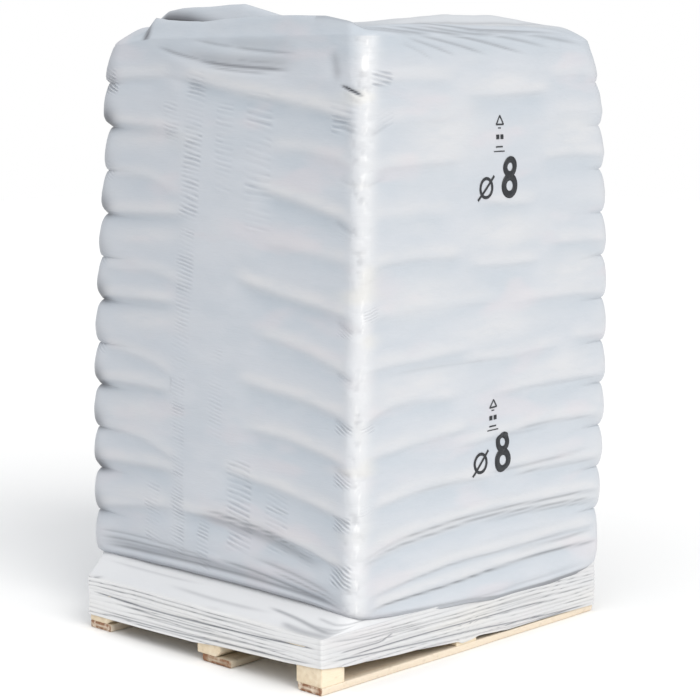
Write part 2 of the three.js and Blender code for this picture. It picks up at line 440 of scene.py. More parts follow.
@dataclass(frozen=True)
class FilmFinish:
    """Milky stretch film: satin gloss, cooler where it spans hollows, with painted shade in them, warmer where it
    lies on wood or sacks, whiter on the sacks' shoulders with painted light there, and with painted shade in its
    creases and painted light and highlights along the near corner.
    """

    name: str
    plain: Triple = (0.562, 0.586, 0.628)
    # Whiter where the film lies on a sack, with painted light on the sacks' upper shoulders
    on_sack_and_lit: Triple = (0.640, 0.640, 0.655)
    # Cooler where the film spans hollows, with painted shade in them
    over_hollow_and_shade: Triple = (0.475, 0.522, 0.575)
    warm: Triple = (0.700, 0.675, 0.620)
    blush: Triple = (0.640, 0.595, 0.625)
    shade: Triple = (0.430, 0.455, 0.500)
    # Painted light, and a painted highlight colour for the brightest places
    painted_light: Triple = (0.700, 0.705, 0.720)
    gleam: Triple = (0.930, 0.940, 0.955)
    # Painted highlight and painted shade lines along the fine creases
    fine_highlight: Triple = (0.660, 0.685, 0.720)
    fine_shade: Triple = (0.270, 0.300, 0.360)
    # Painted shade in creases, and near black painted shadow for the deepest gaps
    crease: Triple = (0.200, 0.208, 0.230)
    deep_shadow: Triple = (0.010, 0.011, 0.014)

    def material(self) -> Material:
        """Builds the material.

        The painted light and the creases' painted shade have two stages: the first colour up to a share of 1, and the
        second above, a painted highlight for the one and a near black painted shadow for the other.

        Returns:
            A material that reads eight attributes: the share over hollows with painted shade, the share on sacks with
                painted light, shade, painted light, warmth, creases with painted shade, reeds and their phase.
        """
        s = Shader(self.name)
        cloudy = s.noise(5.5, (1, 1, 2.4), 3.0)
        blush = s.noise(3.2, (1, 1, 3.0), 2.0)
        smoke = s.noise(16.0, (0.6, 0.6, 2.0), 3.0)
        names = ("hollow_and_shade", "touch_and_light", "shade", "painted_light", "warm", "crease", "reed", "phase")
        hollow_and_shade, touch_and_light, shade, painted_light, warm, crease, reed, phase = (s.attribute(name) for name in names)
        colour = s.layered(self.plain, (
            (s.remap(cloudy, 0.38, 0.68) * 0.35, self.over_hollow_and_shade),
            # Painted shade over hollows and grooves, with the film's own cooler tint there
            (hollow_and_shade * (0.65 + s.remap(smoke, 0.35, 0.7) * 0.35), self.over_hollow_and_shade),
            # Painted light on the sacks' shoulders, with the film's whiter tint where it lies on them
            (touch_and_light * (0.55 + s.remap(smoke, 0.3, 0.6) * 0.45), self.on_sack_and_lit),
            (s.remap(blush, 0.54, 0.70) * 0.38, self.blush),
            (shade * 0.5, self.shade),
            # Painted light along the near corner, on top and on the skirt, and painted highlights above a share of 1
            (painted_light * 0.8, self.painted_light),
            (s.remap(painted_light, 1.0, 2.0), self.gleam),
            (warm * 0.7, self.warm),
            # Painted highlight and painted shade along the fine creases
            (s.remap((phase + 2.4).sine(), 0.35, 1.0) * reed * 0.35, self.fine_highlight),
            (s.remap(phase.sine(), 0.05, 0.95) * reed * 0.34, self.fine_shade),
            # Painted shade in creases and seams, and near black painted shadow above a share of 1
            (crease * 0.9, self.crease),
            (s.remap(crease, 1.0, 2.0) * 0.95, self.deep_shadow),
        ))
        normal = s.bump(phase.sine() * -0.5 * reed + 0.5, 0.0026, 0.9)
        normal = s.bump(s.noise(85.0, (0.35, 0.35, 2.6)), 0.0015, 0.35, normal)
        normal = s.bump(smoke, 0.0060, 0.30, normal)
        return s.finish(
            Base_Color=colour,
            Roughness=s.remap(cloudy, 0.3, 0.7, 0.32, 0.44),
            Normal=normal,
            IOR=1.48,
            Specular_IOR_Level=0.42,
        )


@dataclass(frozen=True)
class PlainFinish:
    """A finish of two colours, the second mixed into the first by noise.

    Blend holds the noise's span over which the second colour comes in, and its greatest share;
    rough holds the roughness at the noise's lows and highs, and bump a distance and a strength.
    """

    name: str
    first: Triple
    second: Triple
    noise: tuple[float, Triple, float]
    blend: Triple
    rough: Pair
    specular: float = 0.5
    bump: Pair | None = None

    def material(self) -> Material:
        """Builds the material on Object coordinates."""
        s = Shader(self.name)
        noise = s.noise(*self.noise)
        low, high, most = self.blend
        relief = {"Normal": s.bump(noise, *self.bump)} if self.bump else {}
        return s.finish(
            Base_Color=s.layered(self.first, ((s.remap(noise, low, high) * most, self.second),)),
            Roughness=s.remap(noise, 0.2, 0.8, *self.rough),
            Specular_IOR_Level=self.specular,
            **relief,
        )


SACK_FINISH = PlainFinish("sack_polythene", (0.80, 0.81, 0.83), (0.66, 0.67, 0.70), (38.0, (1, 1, 2.5), 4.0),
                          (0.3, 0.75, 0.4), (0.35, 0.5), bump=(0.004, 0.6))
INK_FINISH = PlainFinish("black_print", (0.014, 0.016, 0.02), (0.07, 0.075, 0.085), (240.0, (1, 1, 1), 3.0),
                         (0.55, 0.8, 0.4), (0.38, 0.55))
FLOOR_FINISH = PlainFinish("studio_floor", (0.97, 0.97, 0.97), (0.95, 0.95, 0.955), (3.0, (1, 1, 1), 2.0),
                           (0.0, 1.0, 0.1), (0.85, 0.85), specular=0.1)


# Outlines that the film follows

@dataclass(frozen=True)
class Stack:
    """The stack's outline at the pinched seams between its layers, in millimetres."""

    deck_top: float = 158.0
    first_height: float = 168.0
    layer_height: float = 132.0
    layers: int = 12
    half_x: float = 548.0
    half_y: float = 561.0
    centre: Pair = (51.2, 5.3)
    barrel: float = 20.0
    taper: float = 36.0
    lean: Pair = (2.7, -1.6)
    corner: float = 46.0

    def seam(self, k: int) -> float:
        """Height of the seam above layer k; k = 0 is the deck."""
        return self.deck_top if k == 0 else self.deck_top + self.first_height + (k - 1) * self.layer_height

    def seams(self) -> list[float]:
        """Heights of all seams, the deck's top first."""
        return [self.seam(k) for k in range(self.layers + 1)]

    def outline(self, z: Array) -> tuple[Array, Array, Array, Array]:
        """Centre and half sizes at a height.

        The half size grows by barrel * 4t(1 - t) and shrinks by taper * t, where t runs from 0 at
        the deck to 1 at the top seam, and the centre leans by lean for each layer.

        Args:
            z: heights.

        Returns:
            Centre x, centre y, half size in x and half size in y.
        """
        k = np.interp(z, self.seams(), range(self.layers + 1))
        t = k / self.layers
        grow = self.barrel * 4 * t * (1 - t) - self.taper * t
        return (
            self.centre[0] + self.lean[0] * k,
            self.centre[1] + self.lean[1] * k,
            self.half_x + grow,
            self.half_y + grow,
        )


@dataclass(frozen=True)
class Deck:
    """The pallet's outline, in millimetres."""

    centre: Pair = (-32.8, -69.7)
    half_x: float = 600.0
    half_y: float = 500.0
    top: float = 158.0
    corner: float = 5.0


class Loop:
    """The columns of a film grid round a rounded rectangle, from the back corner anticlockwise."""

    def __init__(self, arcs: tuple[int, int, int, int], sides: tuple[int, int, int, int]) -> None:
        """Lays out the columns, a little closer together towards the near corner on the dense sides.

        Args:
            arcs: columns on each corner arc: back, left, near and right corner.
            sides: columns inside each side that follows that corner.
        """
        corner, angle, part = [], [], []
        for q in range(4):
            corner += [q] * (arcs[q] + sides[q])
            angle += np.linspace(q, q + 1, arcs[q]).tolist() + [q + 1.0] * sides[q]
            even = np.linspace(0, 1, sides[q] + 2)[1:-1]
            crowd = {1: 0.055, 2: -0.055}.get(q, 0) if sides[q] > 60 else 0
            part += [0.0] * arcs[q] + (even + crowd * np.sin(math.pi * even)).tolist()
        self.corner = np.array(corner)
        self.angle = np.array(angle) * math.pi / 2
        self.part = np.array(part)
        self.size = len(corner)
        self.normal = np.stack([np.cos(self.angle), np.sin(self.angle)], axis=-1)

    def ring(self, box: tuple[Array, ...], radius: Array) -> Array:
        """Points of rounded rectangles, one for each row of the given sizes.

        A point on an arc is the arc's centre plus the radius along its angle, and a point on a
        side is a straight blend between the ends of the two arcs beside it.

        Args:
            box: centre x, centre y, half size x and half size y, as column vectors.
            radius: corner radii.

        Returns:
            An array of rows by columns by 2.
        """
        cx, cy, hx, hy = box
        sign = np.array([[1, 1], [-1, 1], [-1, -1], [1, -1]], float)
        following = (self.corner + 1) % 4
        arm = radius[..., None] * self.normal

        def end(which: Array) -> Array:
            """Points on the arcs of the given corners."""
            x = cx + sign[which, 0] * (hx - radius)
            y = cy + sign[which, 1] * (hy - radius)
            return np.stack(np.broadcast_arrays(x, y), axis=-1) + arm

        first = end(self.corner)
        return first + (end(following) - first) * self.part[:, None]

    def by_corner(self, values: tuple[float, float, float, float]) -> Array:
        """A number for each column: its corner's own on an arc, and a straight blend along a side."""
        own = np.array(values, float)
        return own[self.corner] * (1 - self.part) + own[(self.corner + 1) % 4] * self.part

    def run(self, box: tuple[Array, ...], radius: Array, points: Array) -> Array:
        """Distance round the outline from the near corner: negative on the short face, positive on the long one.

        Args:
            box: centres and half sizes, as in ring.
            radius: corner radii.
            points: what ring gave.

        Returns:
            An array of rows by columns.
        """
        cx, cy, hx, hy = box
        x = points[..., 0] - (cx - hx)
        y = points[..., 1] - (cy - hy)
        turn = (self.angle / (math.pi / 2) - self.corner) * 2 - 1
        around = radius * turn
        on_side = [-2 * hy - x, -y, x, 2 * hx + y]
        on_arc = [-2 * hx - 2 * hy + around, -2 * hy + around, around, 2 * hx + around]
        out = np.zeros(points.shape[:2])
        for q in range(4):
            side = (self.corner == q) & (self.part > 0)
            arc = (self.corner == q) & (self.part == 0)
            out[:, side] = np.broadcast_to(on_side[q], out.shape)[:, side]
            out[:, arc] = np.broadcast_to(on_arc[q], out.shape)[:, arc]
        return out


# Folds

@dataclass(frozen=True)
class Fold:
    """A fold along a path on the unrolled film: a ridge where rise is positive, a groove where negative, with its ink
    painted as a line of shade along it.
    """

    path: Path
    width: float
    rise: float
    lean: float = 0.0
    fade: float = 0.25
    ink: float = 0.0
    finest: float = 3.2

    def curve(self) -> Array:
        """Rounds the path.

        Returns:
            The path with its corners cut twice, each time at a quarter and three quarters of a stretch.
        """
        line = np.array(self.path, float)
        for _ in range(2):
            cut = np.empty((2 * len(line) - 2, 2))
            cut[0::2] = 0.75 * line[:-1] + 0.25 * line[1:]
            cut[1::2] = 0.25 * line[:-1] + 0.75 * line[1:]
            line = np.vstack([line[:1], cut, line[-1:]])
        return line

    def apply(self, run: Array, height: Array) -> tuple[Array, Array]:
        """Adds the fold over a grid.

        With s the distance above the path, the rise is multiplied by exp(-(s / width)^2), where the
        width is larger on one side by the lean, and by a smooth fade towards both ends of the path.
        The dark line, painted shade along the fold, is a narrower bell of the same kind, and finest is the least
        width it may have.

        Args:
            run: distance round the film.
            height: height on the film.

        Returns:
            The rise at each point, and the share of the painted shade line from 0 to 1.
        """
        line = self.curve()
        reach = 3.2 * self.width * (1 + abs(self.lean))
        low, high = line.min(axis=0) - reach, line.max(axis=0) + reach
        inside = (run > low[0]) & (run < high[0]) & (height > low[1]) & (height < high[1])
        rise, dark = np.zeros(run.shape), np.zeros(run.shape)
        here = np.stack([run[inside], height[inside]], axis=-1)
        if len(here) == 0:
            return rise, dark
        near = np.full(len(here), np.inf)
        offset, along = np.zeros(len(here)), np.zeros(len(here))
        lengths = np.linalg.norm(np.diff(line, axis=0), axis=1)
        before = np.concatenate([[0], np.cumsum(lengths)])
        for i, length in enumerate(lengths):
            direction = (line[i + 1] - line[i]) / max(length, TINY)
            away = here - line[i]
            t = np.clip(away @ direction, 0, length)
            gap = np.linalg.norm(away - t[:, None] * direction, axis=1)
            side = np.sign(direction[0] * away[:, 1] - direction[1] * away[:, 0]) * np.sign(direction[0] + 1e-9)
            closer = gap < near
            near = np.where(closer, gap, near)
            offset = np.where(closer, gap * side, offset)
            along = np.where(closer, before[i] + t, along)
        share = along / before[-1]
        taper = ramp(0, self.fade, share) * ramp(0, self.fade, 1 - share)
        width = self.width * np.where(offset > 0, 1 + self.lean, 1 - self.lean)
        rise[inside] = self.rise * bell(offset, width) * taper
        line_width = max(0.45 * self.width, self.finest) if self.finest > 2 else self.finest
        dark[inside] = self.ink * bell(offset, line_width) * taper
        return rise, dark


def fold_sum(folds: list[Fold], run: Array, height: Array) -> tuple[Array, Array]:
    """Adds up the folds' rises over a grid, and keeps the strongest line of painted shade.

    Args:
        folds: the folds.
        run: distance round the film.
        height: height on the film.

    Returns:
        The rise and the share of the painted shade lines at each point.
    """
    rise, dark = np.zeros(run.shape), np.zeros(run.shape)
    for fold in folds:
        lift, line = fold.apply(run, height)
        rise += lift
        dark = np.maximum(dark, line)
    return rise, dark


# How a span's line is averaged, as (shift along the run, weight)
LINE_BLUR = ((-40.0, 0.15), (-20.0, 0.22), (0.0, 0.26), (20.0, 0.22), (40.0, 0.15))


@dataclass(frozen=True)
class Span:
    """A nearly level line below which the film hangs free, with a ridge over it, lighter with painted light, and a
    soft groove under it, with painted shade.
    """

    path: Path
    depth: float
    below: float = 24.0
    fades: Pair = (110.0, 60.0)

    def apply(self, run: Array, height: Array) -> tuple[Array, Array, Array]:
        """Adds the span over a grid.

        The line's height is the path's, joined straight and averaged over 80 mm. With d the depth, s
        the distance above the line and t = -s / below, the film stands out by 0.3 d exp(-(s / w)^2),
        where w is 24 mm over the line and 9 mm under it, and lies in by d t exp(1 - t) under it. Both
        fade out towards the path's ends.

        Args:
            run: distance round the film.
            height: height on the film.

        Returns:
            The rise, the share of film over hollows, with painted shade, and the share of film that lies on a sack,
            with painted light.
        """
        line = np.array(self.path, float)
        level = np.zeros(run.shape)
        for shift, weight in LINE_BLUR:
            level += weight * np.interp(run + shift, line[:, 0], line[:, 1])
        s = height - level
        t = np.clip(-s / self.below, 0, 9)
        groove = t * np.exp(1 - t)
        ridge = bell(s, np.where(s > 0, 24, 9))
        share = ramp(line[0, 0], line[0, 0] + self.fades[0], run)
        share = share * (1 - ramp(line[-1, 0] - self.fades[1], line[-1, 0], run))
        touch_and_light = bell(s - 16, 20)
        return share * self.depth * (0.3 * ridge - groove), share * groove, share * touch_and_light


@dataclass(frozen=True)
class Ripple:
    """A patch of fine parallel creases in the film: its middle's run at the top and at the foot, and its size."""

    top: float
    foot: float
    half: float
    low: float
    high: float
    pitch: float
    slope: float = 0.2
    strength: float = 1.0

    def apply(self, run: Array, height: Array) -> tuple[Array, Array, Array]:
        """Works out the patch over a grid.

        The creases' phase is 2 pi (height + slope * run) / pitch. The patch's share is its
        strength, with short soft edges.

        Args:
            run: distance round the film.
            height: height on the film.

        Returns:
            How near a point is to the patch, 1 at its rim and less inside, the phase, and the share.
        """
        t = np.clip((height - self.low) / (self.high - self.low), 0, 1)
        away = np.abs(run - self.foot - (self.top - self.foot) * t) / self.half
        tall = (self.high - self.low) / 2
        rise = np.abs(height - (self.low + self.high) / 2) / tall
        share = (1 - ramp(0.72, 1, away)) * (1 - ramp(1 - min(26 / tall, 0.5), 1, rise))
        phase = 2 * math.pi * (height + self.slope * run) / self.pitch
        return np.maximum(away, rise), phase, self.strength * share


# Lines under which the upper film hangs free: the path of (run, height) in millimetres from the near corner,
# the depth, the reach below the line and the fades at both ends
SHORT_FACE_SPANS = [Span(*row) for row in (
    (((-760, 1672), (-688, 1665), (-460, 1626), (-316, 1611), (-175, 1590), (-10, 1558)), 7.5, 26),
    (((-400, 1473), (-196, 1469), (-10, 1438)), 3.5, 22),
    (((-430, 1362), (-359, 1357), (-240, 1334), (-125, 1308), (-5, 1280)), 8, 26),
    (((-420, 1209), (-238, 1200), (-5, 1170)), 3.5, 22),
    (((-520, 1108), (-355, 1077), (-213, 1056), (-5, 1026)), 8, 26),
    (((-430, 952), (-232, 930), (-155, 910), (-5, 868)), 5, 24),
    (((-500, 810), (-281, 792), (-152, 776), (-10, 744)), 6, 24),
    (((-470, 671), (-280, 669), (-150, 649), (-10, 618)), 6, 24),
    (((-560, 543), (-330, 522), (-173, 499), (-10, 466)), 6.5, 24),
    (((-760, 391), (-520, 388), (-382, 381), (-249, 375), (-145, 356), (-10, 320)), 8, 20),
    (((-1110, 1655), (-900, 1668), (-740, 1672)), 4, 20, (40, 90)),
    (((-1115, 1526), (-1007, 1530), (-817, 1520), (-690, 1502)), 8.5, 22, (40, 110)),
    (((-1100, 1372), (-992, 1375), (-869, 1372), (-788, 1345), (-690, 1328)), 3.5, 22, (60, 110)),
    (((-1115, 1262), (-1019, 1260), (-734, 1270), (-670, 1268)), 8.5, 22, (40, 110)),
    (((-1100, 1090), (-1004, 1089), (-866, 1097), (-733, 1072), (-660, 1048)), 3.5, 22, (60, 110)),
    (((-1115, 1002), (-900, 1008), (-700, 1008)), 8.5, 22, (40, 110)),
    (((-1100, 846), (-1005, 846), (-839, 824), (-716, 778)), 4, 22, (60, 110)),
    (((-1115, 742), (-900, 750), (-720, 742)), 8, 22, (40, 110)),
    (((-1100, 598), (-1052, 596), (-883, 588), (-764, 545), (-680, 536)), 4, 22, (60, 110)),
    (((-1115, 496), (-1053, 498), (-838, 506), (-690, 500)), 8.5, 22, (40, 110)),
    (((-1115, 346), (-1054, 350), (-838, 384), (-700, 394)), 6, 20, (40, 110)),
)]
LONG_FACE_SPANS = [Span(*row) for row in (
    (((20, 1662), (200, 1668), (400, 1660)), 1.8, 22, (60, 110)),
    (((380, 1618), (563, 1618), (736, 1624), (800, 1622)), 4.5, 26, (90, 90)),
    (((740, 1668), (900, 1672), (1085, 1660)), 2, 22, (90, 50)),
    (((10, 1548), (160, 1556), (380, 1548)), 2, 22, (60, 110)),
    (((760, 1560), (900, 1562), (1085, 1548)), 2, 22, (90, 50)),
    (((10, 1424), (88, 1430), (242, 1434), (430, 1434)), 4.5, 24, (60, 90)),
    (((720, 1430), (876, 1436), (1027, 1430), (1090, 1418)), 4.5, 24, (80, 50)),
    (((450, 1316), (508, 1315), (615, 1302), (760, 1304)), 4.5, 24, (90, 90)),
    (((10, 1292), (180, 1300), (400, 1294)), 1.8, 22, (60, 110)),
    (((10, 1160), (84, 1167), (199, 1175), (430, 1166)), 4.5, 24, (60, 90)),
    (((770, 1184), (794, 1183), (1048, 1171), (1090, 1160)), 4.5, 24, (80, 50)),
    (((400, 1140), (430, 1140), (620, 1129), (780, 1132)), 3.5, 22, (90, 90)),
    (((10, 1018), (200, 1034), (480, 1030), (620, 1026)), 2.8, 24, (60, 160)),
    (((560, 1012), (800, 1020), (1088, 1006)), 3.2, 24, (160, 50)),
    (((15, 884), (222, 889), (397, 897), (500, 898)), 3.4, 22, (60, 110)),
    (((370, 861), (645, 858), (825, 868), (900, 868)), 3, 20, (110, 110)),
    (((880, 880), (980, 884), (1088, 876)), 3.2, 20, (80, 50)),
    (((5, 736), (123, 774), (225, 778), (440, 758)), 4, 20, (50, 110)),
    (((530, 756), (777, 756), (978, 757), (1088, 752)), 4, 20, (110, 50)),
    (((20, 634), (171, 648), (404, 667), (500, 662)), 4, 19, (60, 110)),
    (((350, 614), (653, 633), (782, 641), (1088, 630)), 4.2, 19, (110, 50)),
    (((30, 492), (232, 516), (409, 516), (620, 509)), 4.4, 18, (70, 110)),
    (((560, 524), (788, 522), (1030, 531)), 3.4, 16, (110, 110)),
    (((620, 500), (855, 496), (1088, 494)), 3.8, 16, (110, 50)),
    (((10, 352), (121, 382), (236, 394), (413, 405), (536, 409), (793, 401), (1090, 392)), 5.5, 13, (60, 50)),
    (((10, 336), (179, 366), (354, 376), (536, 388), (794, 376), (1090, 360)), 5, 13, (60, 50)),
    (((30, 240), (239, 262), (417, 278), (668, 275), (799, 278), (1085, 282)), 5, 13, (70, 60)),
    (((40, 202), (240, 214), (419, 220), (593, 229), (801, 234), (1085, 230)), 6, 9, (60, 60)),
)]
# How strong the painted shade on the film over the left corner is round each seam, from the deck up
UNDERSIDES = (0.3, 0.75, 1.15, 0.85, 1.2, 0.35, 1.15, 0.35, 0.95, 0.3, 1.2, 0.35, 0.2)
# Depth from which on a span's hollow looks as deep as any
FULL_DEPTH = 7.0
# Bands of painted light where the film lies on a sack's upper shoulder, as (run, height, half length, half height)
PALE_BANDS = [
    (-870, 1482, 190, 20), (-868, 1196, 180, 20), (-870, 945, 180, 20), (-910, 668, 160, 22), (-900, 400, 150, 20),
    (555, 1648, 150, 20), (320, 1505, 150, 60), (900, 1500, 150, 40), (600, 1220, 170, 34), (240, 1060, 160, 34),
    (920, 1080, 150, 32), (560, 950, 190, 30), (220, 820, 180, 26), (850, 800, 180, 26),
]
# Folds of the upper film, over the spans: the path, the width, the rise, the lean, the fade and the ink, a line of
# painted shade along the fold
SHORT_FACE_FOLDS = [Fold(*row) for row in (
    (((-1090, 226), (-850, 232), (-610, 236), (-370, 234), (-150, 224), (-10, 206)), 12, -8, 0.3, 0.12, 0.8),
    (((-560, 268), (-400, 258), (-300, 246), (-150, 226), (-5, 205)), 10, -6, 0.3, 0.2, 0.72),
    (((-1100, 250), (-900, 256), (-700, 254), (-520, 250)), 8, -4, 0.2, 0.15, 0.72),
    (((-1100, 270), (-900, 276), (-700, 268), (-560, 262)), 7, -3, 0.2, 0.15, 0.5),
    (((-1100, 240), (-840, 244), (-560, 246), (-260, 236)), 30, -2, 0, 0.15, 0.38),
    (((-620, 408), (-500, 398), (-360, 386), (-230, 366)), 9, -5, 0.2, 0.25, 0.85),
    (((-560, 390), (-430, 378), (-300, 366), (-180, 346)), 7, -3, 0.2, 0.25, 0.75),
    (((-480, 372), (-350, 360), (-230, 342), (-110, 316)), 7, -3, 0.2, 0.3, 0.45),
    (((-660, 392), (-460, 374), (-300, 356), (-100, 312)), 30, -3, 0, 0.2, 0.48),
    (((-420, 300), (-260, 284), (-120, 258), (-20, 228)), 10, -4, 0.2, 0.3, 0.55),
    (((-330, 274), (-200, 256), (-90, 236), (-20, 214)), 7, -3, 0.2, 0.3, 0.6),
    (((-1000, 252), (-700, 262), (-420, 266), (-180, 252)), 12, 3.5, 0, 0.25),
    (((-850, 1760), (-740, 1731), (-610, 1711)), 10, -5, 0.35, 0.3, 0.65),
    (((-700, 1722), (-560, 1702), (-400, 1694), (-250, 1688)), 11, -7, 0.35, 0.25, 1),
    (((-640, 1700), (-480, 1684), (-330, 1678)), 8, -3.5, 0.2, 0.3, 0.55),
    (((-560, 1724), (-430, 1712), (-300, 1708), (-240, 1710)), 8, -3.5, 0.2, 0.3, 0.5),
    (((-830, 1726), (-660, 1686), (-500, 1672), (-320, 1668)), 18, 5.5, -0.2, 0.3),
    (((-690, 1776), (-560, 1758), (-470, 1750)), 9, -4, 0.35, 0.35, 0.4),
    (((-540, 1756), (-400, 1743), (-230, 1733)), 10, -4.5, 0.35, 0.3, 0.55),
    (((-640, 1742), (-450, 1720), (-240, 1710)), 14, 3.5, 0, 0.3),
    (((-760, 1738), (-560, 1716), (-380, 1712), (-200, 1712)), 44, -2, 0, 0.25, 0.3),
    (((-560, 1768), (-420, 1764), (-240, 1762)), 30, -2, 0, 0.25, 0.18),
    (((-860, 1690), (-700, 1650), (-560, 1630)), 15, -2.5, 0.2, 0.35, 0.12),
    (((-78, 1652), (-35, 1638), (-6, 1624), (6, 1619)), 5, -5, 0.2, 0.3, 2),
    (((-60, 1640), (-25, 1622), (10, 1606)), 9, 4, 0, 0.3),
    (((-108, 1752), (-98, 1704), (-80, 1652)), 34, -5, 0, 0.35, 0.4),
    (((-108, 1578), (-60, 1572), (-10, 1566)), 9, -2, 0, 0.25),
    (((-84, 1544), (-50, 1532), (-12, 1526)), 10, -3, 0, 0.25, 0.25),
    (((18, 1516), (50, 1526), (86, 1544)), 8, -2.5, 0, 0.25, 0.2),
    (((-80, 1400), (-44, 1388), (-8, 1380)), 9, -2.5, 0.2, 0.25, 0.15),
    (((12, 1382), (50, 1390), (90, 1402)), 8, -2, 0.2, 0.25, 0.1),
    (((-96, 1286), (-50, 1262), (-8, 1250)), 10, -3, 0.2, 0.25, 0.2),
    (((-86, 1012), (-44, 994), (-6, 984)), 10, -3, 0.2, 0.25, 0.2),
    (((-84, 874), (-40, 858), (-6, 850)), 9, -2.6, 0.2, 0.25, 0.15),
    (((-86, 744), (-44, 726), (-8, 716)), 9, -3, 0.2, 0.25, 0.22),
    (((-86, 612), (-44, 596), (-6, 588)), 9, -3, 0.2, 0.25, 0.2),
    (((-86, 476), (-44, 462), (-6, 454)), 9, -3, 0.2, 0.25, 0.22),
    (((-86, 346), (-44, 330), (-6, 322)), 9, -3, 0.2, 0.25, 0.2),
)]
LONG_FACE_FOLDS = [Fold(*row) for row in (
    (((30, 186), (172, 168), (344, 160), (557, 156), (815, 165), (1060, 170)), 8, -3.5, 0.3, 0.2, 0.3),
    (((80, 222), (342, 234), (700, 250), (1060, 254)), 12, 4, 0, 0.2),
    (((140, 1780), (250, 1756), (370, 1724)), 8, -3.2, 0.2, 0.3, 0.42),
    (((170, 1788), (330, 1764), (510, 1726)), 8, -3.4, 0.2, 0.3, 0.55),
    (((220, 1794), (420, 1776), (690, 1726)), 8, -3.4, 0.2, 0.3, 0.62),
    (((320, 1796), (560, 1782), (800, 1744)), 9, -3, 0.2, 0.3, 0.5),
    (((460, 1798), (700, 1786), (960, 1754)), 10, -2.8, 0.2, 0.3, 0.42),
    (((120, 1766), (200, 1742), (270, 1712)), 8, -2.6, 0.2, 0.3, 0.2),
    (((40, 1700), (140, 1694), (240, 1700)), 12, -2.4, 0.2, 0.3),
    (((700, 1772), (860, 1762), (1040, 1728)), 12, -2.8, 0.2, 0.3),
    (((60, 206), (240, 211), (419, 217), (593, 226), (801, 231), (1080, 227)), 6, -4, 0.2, 0.08, 0.95),
    (((110, 381), (236, 391), (413, 402), (536, 406), (793, 398), (1088, 390)), 7, -3, 0.2, 0.15, 0.62),
    (((50, 350), (179, 369), (354, 379), (536, 391), (794, 379), (1089, 363)), 7, -3, 0.2, 0.12, 0.66),
    (((500, 372), (700, 372), (900, 362), (1080, 346)), 7, -2.6, 0.2, 0.2, 0.4),
    (((60, 246), (239, 259), (417, 275), (668, 272), (1044, 280)), 8, -3, 0.2, 0.2, 0.34),
    (((640, 258), (820, 258), (1070, 262)), 7, -2.6, 0.2, 0.25, 0.45),
    (((520, 518), (690, 519), (880, 521), (1020, 529)), 7, -2.4, 0.2, 0.25, 0.38),
    (((640, 498), (855, 493), (1080, 491)), 7, -2.4, 0.2, 0.25, 0.42),
    (((200, 512), (409, 512), (560, 507)), 8, -2.2, 0.2, 0.3, 0.18),
    (((620, 630), (782, 636), (1060, 627)), 7, -2.2, 0.2, 0.3, 0.34),
    (((480, 614), (640, 618), (860, 620)), 8, -2, 0.2, 0.3, 0.16),
    (((640, 752), (777, 751), (1060, 749)), 7, -2, 0.2, 0.3, 0.2),
    (((60, 856), (240, 860), (420, 857), (640, 853)), 8, -2, 0.2, 0.3, 0.14),
    (((200, 440), (500, 450), (860, 446)), 14, 2.6, 0, 0.3),
    (((400, 318), (700, 330), (1000, 322)), 12, 2.4, 0, 0.3),
)]
# Lines of painted shade where creases come over the long face's shoulder, as (first x, last x, distance inward at the
# first, share)
SHOULDER_CREASES = [
    (-490, -200, 26, 0.5), (-430, -150, 26, 0.65), (-350, 10, 26, 0.7), (-260, 160, 26, 0.65), (-120, 300, 24, 0.5),
    (-440, 480, 60, 0.75),
]
# Fine creases: the reeds of the short face, the fans at the knots, and a few columns on the faces behind, as
# (top, foot, half, low, high, pitch, slope, strength)
RIPPLES = [Ripple(*row) for row in (
    (-770, -770, 36, 1465, 1605, 13, 0.2, 0.55), (-655, -690, 44, 1245, 1695, 14.5, 0.2, 0.95),
    (-690, -725, 38, 800, 1240, 12.5, 0.2, 0.7), (-725, -722, 32, 230, 800, 11, 0.2, 0.65),
    (-540, -535, 42, 1330, 1605, 16, 0.16, 0.5), (-398, -392, 60, 1224, 1634, 20, 0.15, 0.8),
    (-845, -830, 38, 264, 461, 12, 0.2, 0.7), (-610, -612, 30, 210, 384, 12, 0.2, 0.7),
    (-455, -455, 56, 289, 583, 16, 0.18, 0.9), (-300, -296, 50, 315, 504, 14, 0.2, 0.7),
    (-186, -184, 32, 300, 380, 11, 0.2, 0.6), (-560, -560, 30, 620, 900, 12, 0.2, 0.3),
    (-60, -60, 56, 1506, 1618, 17, 0.2, 1.9), (-46, -46, 34, 1236, 1272, 11, 0.4, 0.7),
    (-44, -44, 32, 966, 1000, 10, 0.5, 0.8), (-44, -44, 30, 836, 868, 10, 0.5, 0.5),
    (-42, -42, 34, 696, 744, 11, 0.5, 0.95), (-42, -42, 34, 548, 604, 12, 0.5, 0.95),
    (-42, -42, 34, 424, 476, 12, 0.5, 0.95), (-44, -44, 42, 262, 346, 14, 0.5, 1.1),
    (58, 58, 42, 1640, 1696, 14, 0.2, 1.3), (72, 72, 36, 1526, 1590, 15, -0.4, 1.1),
    (34, 34, 26, 1000, 1060, 9, -0.3, 0.4), (34, 34, 26, 700, 740, 9, -0.3, 0.45),
    (34, 34, 26, 470, 520, 9, -0.3, 0.45), (-1036, -1036, 36, 1606, 1698, 12, 0.5, 1.7),
    (-1062, -1062, 32, 1348, 1416, 11, 0.5, 1.6), (-1084, -1084, 30, 1086, 1148, 11, 0.5, 1.3),
    (-1088, -1088, 30, 820, 876, 11, 0.5, 1.1), (1022, 1022, 28, 1600, 1684, 12, -0.5, 1.2),
    (1640, 1640, 60, 500, 1500, 17, 0.18, 0.7),
    (1850, 1860, 54, 300, 1200, 14, 0.2, 0.7), (-1560, -1560, 60, 400, 1600, 18, -0.15, 0.7),
    (-1880, -1880, 48, 700, 1400, 13, -0.2, 0.6),
)]
